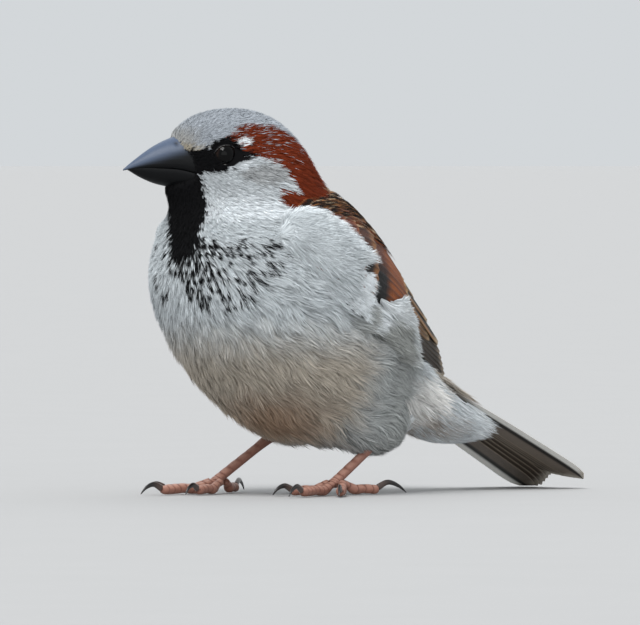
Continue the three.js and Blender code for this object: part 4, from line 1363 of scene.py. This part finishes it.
    def feathers(
        self, name: str, s: tuple, w: tuple, lift: tuple, half: Array, colours: tuple, **shape: object
    ) -> None:
        """Adds one row of feathers to its group.

        Args:
            name: the group's name.
            s: start and end shares along the wing, an array for each.
            w: start and end shares across it, an array for each.
            lift: start and end heights, a number or an array for each.
            half: each feather's half width.
            colours: core, edge and tip, each a code or one colour for each feather.
            shape: other settings of the vanes.
        """
        steps = 22
        centre, out, side = self.lines(s, w, lift, steps)
        count = len(centre)
        t = np.linspace(0, 1, steps)
        blunt = shape.pop("blunt", 0.72)
        wide = np.broadcast_to(np.asarray(half, float), count)[:, None] * feather_outline(t, blunt)
        uneven = 1 + self.rng.normal(0, 0.08, (3, count, 1))
        core, edge, tip = ((tone(c) if isinstance(c, str) else c) * u for c, u in zip(colours, uneven))
        vanes = Vanes(centre, out, side, wide, core, edge, tip, **shape)
        self.rows.append((name, vanes.shape()))

    def build(self) -> None:
        """Lays every row from the lowest to the uppermost and makes one piece of each group of rows."""
        self.rows = []
        self.flight_feathers()
        self.coverts()
        groups = {"primaries": [], "secondaries": [], "coverts": []}
        for name, shape in self.rows:
            groups[name].append(shape)
        for name, shapes in groups.items():
            whole = Shape.joined(shapes)
            node = f"wing_{self.side.word}_{name}"
            piece(f"{name}_{self.side.word}", whole, VANE, (node,))

    def flight_feathers(self) -> None:
        """Primaries, secondaries and tertials, each stacked over the one outside it."""
        i = np.arange(8)
        self.feathers(
            "primaries", (0.46 + 0 * i, 1.0 - 0.028 * i), (0.94 - 0.035 * i, 0.72 - 0.055 * i),
            (-2.4 + 0.1 * i, -1.2 + 0.12 * i), 2.3, ("332b25", "4f443a", "8f7f6c"),
            rim=(0.8, 0.95), blunt=0.6, streaks=0.15,
        )
        i = np.arange(6)
        self.feathers(
            "secondaries", (0.44 + 0 * i, 0.78 - 0.012 * i), (0.7 - 0.06 * i, 0.56 - 0.05 * i),
            (-1.7 + 0.12 * i, -0.9 + 0.12 * i), 2.6, ("2a211b", "7d5c3c", "a58c6c"),
            rim=(0.6, 0.85), streaks=0.15,
        )
        i = np.arange(3)
        self.feathers(
            "secondaries", (0.46 - 0.02 * i, 0.86 - 0.07 * i), (0.4 - 0.13 * i, 0.4 - 0.14 * i),
            (-1.0 + 0.25 * i, -0.25 + 0.25 * i), 3.3, ("241d19", "8f6b47", "b59f80"), rim=(0.45, 0.75),
        )

    def coverts(self) -> None:
        """The coverts' rows and the dark feathers of the bend."""
        i = np.arange(6)
        self.feathers(
            "coverts", (0.26 + 0.01 * i, 0.52 + 0.012 * i), (0.97 - 0.045 * i, 0.88 - 0.045 * i),
            (-1.3 + 0.08 * i, -0.6 + 0.08 * i), 2.0, ("1b1816", "5c4a3a", "6d5a47"), rim=(0.75, 0.95),
        )
        i = np.arange(9)
        inner = ease(2, 5, i)
        root = mix(tone("0a0808"), tone("5a2a12"), inner)
        self.feathers(
            "coverts", (0.28 + 0 * i, 0.545 + 0.006 * i), (0.86 - 0.095 * i, 0.8 - 0.085 * i),
            (-0.9 + 0.07 * i, -0.1 + 0.06 * i), 2.4, ("87430f", "b26a26", "c49c66"),
            rim=(0.45, 0.9), ended=(0.9, 0.99), base=root, based=(0.42, 0.58), streaks=0.35,
        )
        dark = mix(tone("1c1613"), tone("4a2413"), inner)
        self.feathers(
            "coverts", (0.17 + 0 * i, 0.335 + 0.004 * i), (0.9 - 0.1 * i, 0.88 - 0.1 * i),
            (-0.5 + 0.05 * i, 0.25 + 0.04 * i), 2.5, (dark, "7c4422", "8f6038"),
            rim=(0.6, 0.9), ended=(0.8, 0.93),
        )
        for k in range(4):
            start, shift = 0.01 + 0.045 * k, 0.05 * (k % 2)
            self.feathers(
                "coverts", (start + 0 * i, start + 0.13 + 0 * i), (0.95 - 0.11 * i + shift, 0.96 - 0.11 * i),
                (-0.4 + 0.1 * k, 0.55 + 0.02 * k), 1.9, ("5f2a14", "7a3c1e", "8a5030"),
                rim=(0.4, 0.9), streaks=0.25,
            )


@dataclass
class Tail:
    """Twelve tail feathers, six a side, the middle pair on top."""

    root: tuple = (2.6, 28.4, 27.3)
    yaw: float = 7
    pitch: float = 27.7
    roll: float = 10.5
    length: float = 56.5
    notch: float = 3.6
    half_root: float = 5.6
    half_tip: float = 10.3
    dish: float = 0.012

    def turned(self) -> tuple[Array, Array, Array]:
        """The tail's own forward, left and up directions."""
        forward, left, dorsal = axes(self.pitch, self.yaw)
        c, d = np.cos(np.radians(self.roll)), np.sin(np.radians(self.roll))
        return forward, left * c + dorsal * d, dorsal * c - left * d

    def placed(self, back: Array, aside: Array, lift: Array) -> tuple[Array, tuple[Array, Array]]:
        """Places so far back from the root, left of it and above it, with the last two directions."""
        forward, left, up = self.turned()
        place = np.array(self.root) - forward * back[..., None] + left * aside[..., None]
        return place + up * lift[..., None], (left, up)

    def tucked(self, points: Array) -> Array:
        """Points that would show over the feathers, moved to just under them."""
        forward, _, up = self.turned()
        offset = points - np.array(self.root)
        push = np.clip(offset @ up + 1.5, 0, None) * ease(9, 16, -(offset @ forward))
        return points - up * push[..., None]

    def build(self) -> None:
        """Each feather runs from the root, carried out by its share of the fan, which widens with t."""
        t = np.linspace(0, 1, 30)
        half = self.half_root + (self.half_tip - self.half_root) * t**0.7
        for side in Side:
            share = (np.arange(6) + 0.4) / 6
            vane_half = np.array([3.9, 3.6, 3.6, 3.6, 3.6, 3.6])
            middle = np.maximum(share[:, None] * half, 0.6) * (1 - 0.16 * share[:, None])
            reach = self.length - self.notch * (1 - share) ** 1.4 - 2.6 * np.clip(share - 0.55, 0, 1)
            stack = (0.55 - 0.22 * np.arange(6))[:, None] * (1 - 0.55 * t)
            lift = stack - self.dish * middle**2 * t
            centre, (_, up) = self.placed(t * reach[:, None], side.value * middle, lift)
            way = unit(np.gradient(centre, axis=1))
            out = np.broadcast_to(up, way.shape)
            wide = vane_half[:, None] * feather_outline(t, 0.86, 2.0) * (0.72 + 0.28 * ease(0, 0.6, t))
            outermost = np.arange(6) == 5
            vanes = Vanes(
                centre, out, unit(np.cross(out, way)), wide,
                core=mix(tone("5a4e43"), tone("7b7065"), outermost), edge=tone("9a8d7d"), tip=tone("cbc2b4"),
                base=tone("a9a298"), based=(0.3, 0.38), web=mix(tone("665a4e"), tone("fffdf7"), outermost),
                web_side=-side.value, web_seen=(0.25, 1.0), shaft=-0.22 * side.value, rim=(0.84, 0.97),
                ended=(0.955, 0.99), camber=0.04, across=25,
                # The outermost feather's shaft is a wide near-black line: partly its dark shaft, partly
                # painted shadow between it and the next feather.
                quill_tone=np.array([0.8, 0.7, 0.8, 0.7, 0.6, 0.06]), quill_half=0.34,
            )
            piece(f"tail_feathers_{side.word}", vanes.shape(), VANE, (f"tail_{side.word}",))


# ---------- bill, eyes and legs ----------
@dataclass(frozen=True)
class Bill:
    """The bill's two halves: heights and half widths by distance forward of the head's centre."""

    root: float = 9.5
    tip: float = 25.7
    lower_tip: float = 24.7
    ridge: tuple = ((9.5, 7.0), (13, 6.5), (15.2, 5.9), (19, 4.3), (22.5, 2.2), (24.6, 0.8), (25.7, 0.0))
    mouth: tuple = ((9.5, -2.0), (11.5, -1.3), (14, -0.5), (18, 0.0), (23, 0.15), (25.7, -0.2))
    keel: tuple = ((9.5, -5.2), (15.5, -4.3), (19, -3.3), (22.5, -1.6), (24.7, -0.15))
    half_width: tuple = (
        (9.5, 5.5), (11.2, 5.3), (13, 4.6), (15, 3.85), (18, 2.85), (21.5, 1.65), (24.5, 0.55), (25.7, 0.12),
    )
    # Where the feathers end: how far forward at each height.
    feather_line: tuple = (
        (-4.5, 17), (-3.9, 16.4), (-2.6, 12.8), (-1.2, 11.2), (1.4, 13.1), (2.3, 13.8), (6, 14.6), (7.5, 15),
    )
    overlap: float = 0.06  # how far the halves reach past the mouth's line into each other
    rows: int = 64
    sides: int = 56

    def half(self, upper: bool) -> Shape:
        """One half: at each distance forward, an arch from the mouth's line to the ridge or the keel.

        With angle a round the section, the place is width * sin(a) aside and (edge - mouth) * |cos(a)|^0.85
        up from the mouth's line, or on that line for the half turn that faces the other half.

        Args:
            upper: whether it is the upper half.

        Returns:
            A closed shape.
        """
        head = Head()
        t = np.sin(np.linspace(0, 1, self.rows) * np.pi / 2)[:, None]
        tip = self.tip if upper else self.lower_tip
        f = self.root + (tip - self.root) * t
        sign = 1 if upper else -1
        angle = np.arange(self.sides)[None] / self.sides * 2 * np.pi
        mouth = eased(self.mouth, f) - sign * self.overlap
        edge = eased(self.ridge if upper else self.keel, f)
        edge = mouth + sign * np.maximum(sign * (edge - mouth), 0.05)
        rise = np.clip(sign * np.cos(angle), 0, 1) ** 0.85
        belly = 1 + 0.06 * np.sin(np.pi * rise)
        wide = eased(self.half_width, f) * (1 if upper else 0.93) * belly
        share = np.ones((self.rows, 1))
        share[[0, -1]] = 0
        nostril = np.exp(-((f - 14.3) ** 2) / 0.2 - (rise - 0.8) ** 2 / 0.004) if upper else 0 * rise * f
        aside = -np.sin(angle) * wide * share * (1 - 0.08 * nostril)
        up = mouth + (edge - mouth) * rise * share
        points = head.place(f + 0 * angle, aside, up)
        lit_slate, dark = tone("4b5669"), tone("060709")
        if upper:
            # The upper half is black low on its sides and near its root, and slate higher up: the slate is
            # partly the bill's own blue-grey and partly painted sky reflection. The paler ridge on top is a
            # painted highlight.
            shade = ease(0.2, 0.62, rise + 0.03 * (f - 18)) * ease(11.5, 14, f)
            colour = mix(dark, lit_slate, shade)
            colour = mix(colour, lit_slate * 1.35, 0.6 * ease(0.75, 1.0, rise + 0 * f))
            # Darker in the nostril's dimple: painted shade of its opening.
            colour = colour * (1 - 0.8 * nostril)[..., None]
        else:
            colour = np.broadcast_to(dark, points.shape)
        return tube(points, colour)

    def build(self) -> None:
        """Both halves."""
        for name, upper in (("upper_bill", True), ("lower_bill", False)):
            piece(name + "_horn", self.half(upper), BILL_HORN, (name,))


@dataclass(frozen=True)
class Eye:
    """An eyeball with a clear bulge, and its rim of lid."""

    side: Side
    opening: tuple = (2.42, 1.98)  # half length and half height of the gap between the lids
    rim: tuple = (3.1, 2.6)  # the lids' outer edge
    head: Head = Head()

    def build(self) -> None:
        """The ball and the lids."""
        self.ball()
        self.lids()

    def ball(self) -> None:
        """A sphere round the eye's middle, with its poles forward and back."""
        rows, sides = 40, 48
        a = np.linspace(0, np.pi, rows)[:, None]
        b = np.arange(sides)[None] / sides * 2 * np.pi
        r = self.head.eye_radius * 0.985
        f, l, u = self.head.eye_at(self.side)
        aside = np.sin(a) * np.cos(b)
        points = self.head.place(f + r * np.cos(a) + 0 * b, l + r * aside, u + r * np.sin(a) * np.sin(b))
        colour = mix(tone("1d120c"), tone("030303"), ease(0.62, 0.75, aside * self.side.value))
        word = self.side.word
        piece(f"eyeball_{word}", tube(points, colour), EYE_GLOSS, (f"eye_{word}",))

    def lids(self) -> None:
        """A ring round the eye: from the ball, over a rim of small beads, to under the coat."""
        rows, sides = 14, 96
        v = np.linspace(0, 1, rows)[:, None]
        b = np.arange(sides)[None] / sides * 2 * np.pi
        f, l, u = self.head.eye_at(self.side)
        long = self.opening[0] + (self.rim[0] - self.opening[0]) * v
        high = self.opening[1] + (self.rim[1] - self.opening[1]) * v
        corner = 1 + 0.07 * np.cos(b) ** 8 * (1 - v)
        df, du = long * np.cos(b) * corner, high * np.sin(b)
        r = self.head.eye_radius
        on_ball = np.sqrt(np.clip(r * r * 1.02 - df**2 - du**2, 0.3, None))
        beads = np.abs(np.sin(b * 14 + 2 * np.sin(b * 3)))
        roll = 0.22 * np.sin(np.pi * np.clip(v * 1.6, 0, 1))
        roll = roll + 0.07 * beads * np.exp(-(((v - 0.16) / 0.1) ** 2))
        flat = np.sqrt(r * r - self.opening[0] ** 2) + 0.25
        depth = on_ball * (1 - ease(0.1, 0.9, v)) + (flat - 0.75 * ease(0.2, 1, v)) * ease(0.1, 0.9, v) + roll
        top = self.head.place(f + df, l + self.side.value * depth, u + du)
        under = self.head.place(f + df, l + self.side.value * (depth - 0.45), u + du)
        points = np.concatenate([top, under[::-1]], 0)
        # Pale on the rim's beads and strongest on the lower lid: partly the beads' own pale grey, partly a
        # painted highlight along the lower rim.
        shine = np.exp(-(((v - 0.16) / 0.08) ** 2)) * beads**2 * (0.35 + 0.65 * ease(0.4, -0.6, np.sin(b)))
        lid = mix(tone("09090b"), tone("b5b2ae"), shine * 0.9)
        colour = np.concatenate([lid, lid[::-1]], 0).reshape(-1, 3)
        cell = np.arange(sides)
        a = np.arange(2 * rows)[:, None] * sides + cell
        b = np.roll(a, -1, axis=1)
        c, d = np.roll(b, -1, axis=0), np.roll(a, -1, axis=0)
        faces = np.stack([a, b, c, a, c, d], -1).reshape(-1, 3)
        places = points.reshape(-1, 3)
        shape = Shape(places, outward(places, faces), colour)
        piece(f"lids_{self.side.word}", shape, LID_SKIN)


def swept(
    path: Curve, radius: Callable, rows: int, sides: int, squash: float = 1.0
) -> tuple[Array, Array, Array]:
    """A closed tube along a line.

    Its section at t is a circle of radius(t, a) at angle a from the section's top, widened by squash.

    Args:
        path: the line.
        radius: gives radii for arrays of t and a.
        rows: sections along it.
        sides: points round it.
        squash: how much wider than high it is.

    Returns:
        The points, and t and the angle at each.
    """
    t = np.linspace(0, 1, rows)[:, None]
    a = np.arange(sides)[None] / sides * 2 * np.pi
    way = path.heading(t[:, 0])
    across = unit(np.cross(way, np.array([0, 0, 1.0])))
    up = np.cross(across, way)
    r = radius(t, a) * np.ones((rows, sides))
    r[[0, -1]] = 0
    points = (
        path.at(t[:, 0])[:, None] + up[:, None] * (np.cos(a) * r)[..., None]
        + across[:, None] * (np.sin(a) * r * squash)[..., None]
    )
    return points, t + 0 * a, a + 0 * t


@dataclass(frozen=True)
class Leg:
    """A bare shank and four toes with their claws, from where the toes meet."""

    side: Side
    joint: tuple
    lean: float
    spread: dict  # how many degrees outward each toe points
    slope: float = 32
    shank: float = 19.5
    shank_scales: int = 11
    # Each toe's name, its length, its claw's length, and how far outward of the joint its root is.
    toes: tuple = (
        ("hind", 8.6, 6.6, 0.0),
        ("inner", 9.8, 4.8, -1.75),
        ("middle", 14.8, 5.4, 0.0),
        ("outer", 10.4, 4.8, 1.75),
    )
    skin_tone: str = "96695a"
    scale_edge: str = "4e2f25"

    def tint(self, t: Array, a: Array, scales: float) -> Array:
        """Pinkish brown, darker in the grooves between scales, with a painted highlight on the scales along
        the top and painted shade underneath.
        """
        groove = np.abs(np.sin(np.pi * (scales * t + 0.08 * np.sin(3 * a)))) ** 0.5
        worn = ease(0.05, 0.7, groove)
        if scales == self.shank_scales:
            worn = 1 - (1 - worn) * (0.25 + 0.75 * ease(0.6, 0.2, t))
        colour = mix(tone(self.scale_edge), tone(self.skin_tone), worn)
        # Painted highlight: paler on the scales' crests along the top.
        colour = mix(colour, tone("c6a090"), 0.35 * ease(0.55, 0.95, groove) * ease(0.1, 0.9, np.cos(a)))
        # Painted shade: darker underneath.
        return mix(colour, tone("7c4f3f"), 0.4 * ease(0.3, -0.8, np.cos(a)))

    def toward(self, outward: float) -> Array:
        """The level direction so many degrees outward of straight ahead."""
        a = np.radians(outward)
        return np.array([self.side.value * np.sin(a), -np.cos(a), 0.0])

    def ankle(self) -> Array:
        """The top of the bare shank."""
        slope = np.radians(self.slope)
        back, up = np.cos(slope) * self.shank, np.sin(slope) * self.shank
        return np.array(self.joint) + np.array([-self.side.value * self.lean, back, up])

    def build(self) -> None:
        """The shank, then each toe and claw."""
        joint, ankle = np.array(self.joint), self.ankle()
        path = Curve((joint + np.array([0, -1.5, -1.25]), joint, (joint + ankle) / 2, ankle))
        stations = ((0, 0.9), (0.1, 1.35), (0.22, 1.15), (0.5, 1.0), (0.85, 1.2), (0.95, 1.55), (1, 1.5))
        count = self.shank_scales
        front = lambda t, a: ease(-0.3, 0.5, np.cos(a)) * ease(1, 0.4, t)
        scutes = lambda t, a: 0.09 * np.abs(np.sin(np.pi * count * t)) ** 0.6 * front(t, a)
        points, t, a = swept(path, lambda t, a: eased(stations, t) - 0.05 + scutes(t, a), 110, 28, 1.08)
        self.make("tarsus", points, self.tint(t, a, count), LEG_SCALE, Slot.LEG)
        for digit, length, claw, offset in self.toes:
            self.toe(digit, length, claw, offset)

    def toe(self, digit: str, length: float, claw: float, offset: float) -> None:
        """One toe lying on the floor, padded under its joints and scaled on top, and its hooked claw."""
        hind = digit == "hind"
        turn = self.spread[digit]
        heading = -self.toward(-turn) if hind else self.toward(turn)
        middle = self.spread["middle"]
        root = np.array(self.joint) + self.toward(middle) * (-1.4 if hind else 1.2)
        root = root + self.toward(middle + 90) * offset
        at = lambda share, z: np.array([*(root + heading * length * share)[:2], z])
        low = 0.92
        heights = ((0, 2.5), (0.18, 1.75), (0.4, low), (0.62, low + 0.25), (0.82, low), (1, low + 0.15))
        path = Curve(tuple(at(*pair) for pair in heights))
        stations = ((0, 0.78), (0.3, 1.0), (0.42, 1.12), (0.6, 0.92), (0.78, 1.06), (0.95, 0.85), (1, 0.7))
        scales = round(length * 0.62)
        scutes = lambda t, a: 0.1 * np.abs(np.sin(np.pi * scales * t)) ** 0.4 * ease(-0.2, 0.6, np.cos(a))
        pads = lambda t, a: 0.12 * np.cos(2 * np.pi * 3.2 * t) * ease(0.3, -0.7, np.cos(a))
        points, t, a = swept(path, lambda t, a: eased(stations, t) - 0.06 + scutes(t, a) + pads(t, a), 72, 24)
        self.make(f"toe_{digit}", points, self.tint(t, a, scales), LEG_SCALE, Slot.LEG)
        end = at(1, low + 0.2)
        rise = claw * 0.2
        hook = lambda share, z: np.array([*(end + heading * (claw * share + 0.35))[:2], z])
        heights = ((-0.08, low + 0.4), (0.3, end[2] + rise), (0.68, end[2] + rise * 0.4), (0.97, 0.14))
        path = Curve(tuple(hook(*pair) for pair in heights))
        points, t, a = swept(path, lambda t, a: 0.68 * (1 - t) ** 0.7 + 0.05, 40, 18, 0.72)
        colour = mix(tone("4a3a34"), tone("120e0e"), ease(0.05, 0.5, t))
        self.make(f"claw_{digit}", points, colour, CLAW_HORN, Slot.HORN)

    def make(self, part: str, points: Array, colour: Array, finish: Finish, slot: Slot) -> None:
        """One piece of the leg, named after the node it replaces."""
        words = part.split("_")
        node = "_".join([words[0], self.side.word, *words[1:]])
        name = f"{node}_skin" if slot is Slot.LEG else f"{node}_horn"
        piece(name, tube(points, colour), finish, (node,))


# ---------- the studio ----------
@dataclass(frozen=True)
class Studio:
    """A pale floor, soft lights and the camera."""

    azimuth: float = 45
    elevation: float = 1.0
    target: tuple = (6.17, 6.17, 38.6)
    distance: float = 2500
    view_width: float = 136.2
    film: float = 36.0
    floor_radius: float = 14.0  # in metres
    sky: tuple = (0.93, 0.97, 1.0, 1)
    sky_strength: float = 0.7
    # Each sun's name, the way to it, its spread in degrees and its strength.
    suns: tuple = (
        ("key", (0.35, -0.8, 1.5), 30, 2.4),
        ("fill", (-0.5, 0.9, 0.9), 60, 0.5),
        ("front", (0.75, -0.62, 0.16), 50, 0.55),
        ("spark", (0.5, -0.7, 0.9), 4, 0.35),
    )

    def build(self) -> None:
        """Everything that isn't the bird."""
        self.floor()
        self.lights()
        self.camera()

    def floor(self) -> None:
        """A wide level disc: one face whose corners are evenly spaced round a circle."""
        radius, count, just_below = self.floor_radius, 96, -0.0002
        a = np.arange(count) / count * 2 * np.pi
        places = np.stack([radius * np.cos(a), radius * np.sin(a), np.full(count, just_below)], -1)
        mesh = bpy.data.meshes.new("floor")
        mesh.from_pydata(places.tolist(), [], [list(range(count))])
        floor = bpy.data.objects.new("floor", mesh)
        bpy.context.scene.collection.objects.link(floor)
        graph = Graph("pale_floor")
        where = graph.add("TexCoord").outputs["Object"]
        grain = graph.add("TexNoise", Vector=where, Scale=40.0, Detail=2.0).outputs[0]
        ramp = graph.add("MapRange", Value=grain, To_Min=0.40, To_Max=0.415).outputs[0]
        colour = graph.add("CombineXYZ", X=ramp, Y=ramp, Z=ramp).outputs[0]
        shader = graph.add("BsdfPrincipled", Base_Color=colour, Roughness=0.9)
        graph.add("OutputMaterial", Surface=shader.outputs[0])
        mesh.materials.append(graph.material)

    def lights(self) -> None:
        """A broad sun above, weaker ones behind and in front, a small one, and a pale sky."""
        for name, way, spread, power in self.suns:
            lamp = bpy.data.lights.new(name, "SUN")
            lamp.energy = power
            lamp.angle = np.radians(spread)
            placed = bpy.data.objects.new(name, lamp)
            placed.location = unit(np.array(way))
            placed.rotation_euler = self.aim(-np.array(way))
            bpy.context.scene.collection.objects.link(placed)
        world = bpy.data.worlds.new("sky")
        bpy.context.scene.world = world
        world.use_nodes = True
        sky = world.node_tree.nodes["Background"]
        sky.inputs["Color"].default_value = self.sky
        sky.inputs["Strength"].default_value = self.sky_strength

    @staticmethod
    def aim(way: Array) -> tuple:
        """The turn that points a lamp or camera along a direction."""
        return Vector(way).to_track_quat("-Z", "Y").to_euler()

    def camera(self) -> None:
        """A long lens far off, level with the bird, that takes in the view's width at the bird."""
        target = (np.array(self.target) - frame_shift()) / 1000
        a, e = np.radians(self.azimuth), np.radians(self.elevation)
        way = np.array([np.sin(a) * np.cos(e), -np.cos(a) * np.cos(e), np.sin(e)])
        data = bpy.data.cameras.new("camera")
        data.sensor_width = self.film
        data.lens = self.film * self.distance / self.view_width
        data.clip_end = 60
        camera = bpy.data.objects.new("camera", data)
        camera.location = target + way * self.distance / 1000
        camera.rotation_euler = self.aim(-way)
        bpy.context.scene.collection.objects.link(camera)
        bpy.context.scene.camera = camera
        bpy.context.scene.view_settings.view_transform = "Standard"


def main() -> None:
    """Builds the bird and its setting in order."""
    logging.basicConfig(level=logging.INFO, format="%(name)s %(message)s")
    Studio().build()
    wings = {side: Wing(side) for side in Side}
    coat = Coat(wings=wings)
    coat.skin()
    coat.grow()
    fluff = Fluff(coat)
    for wing in wings.values():
        wing.build()
        fluff.over_wing(wing)
    fluff.round_ankles()
    fluff.under_tail(Tail())
    Tail().build()
    Bill().build()
    for side in Side:
        Eye(side).build()
    spread_left = {"hind": 20, "inner": -8, "middle": 16, "outer": 42}
    spread_right = {"hind": 30, "inner": -15, "middle": 6, "outer": 27}
    Leg(Side.LEFT, (12.5, 5.3, 3.3), 0.8, spread_left).build()
    Leg(Side.RIGHT, (-12.5, -5.3, 3.3), 2.0, spread_right).build()


if __name__ == "__main__":
    main()
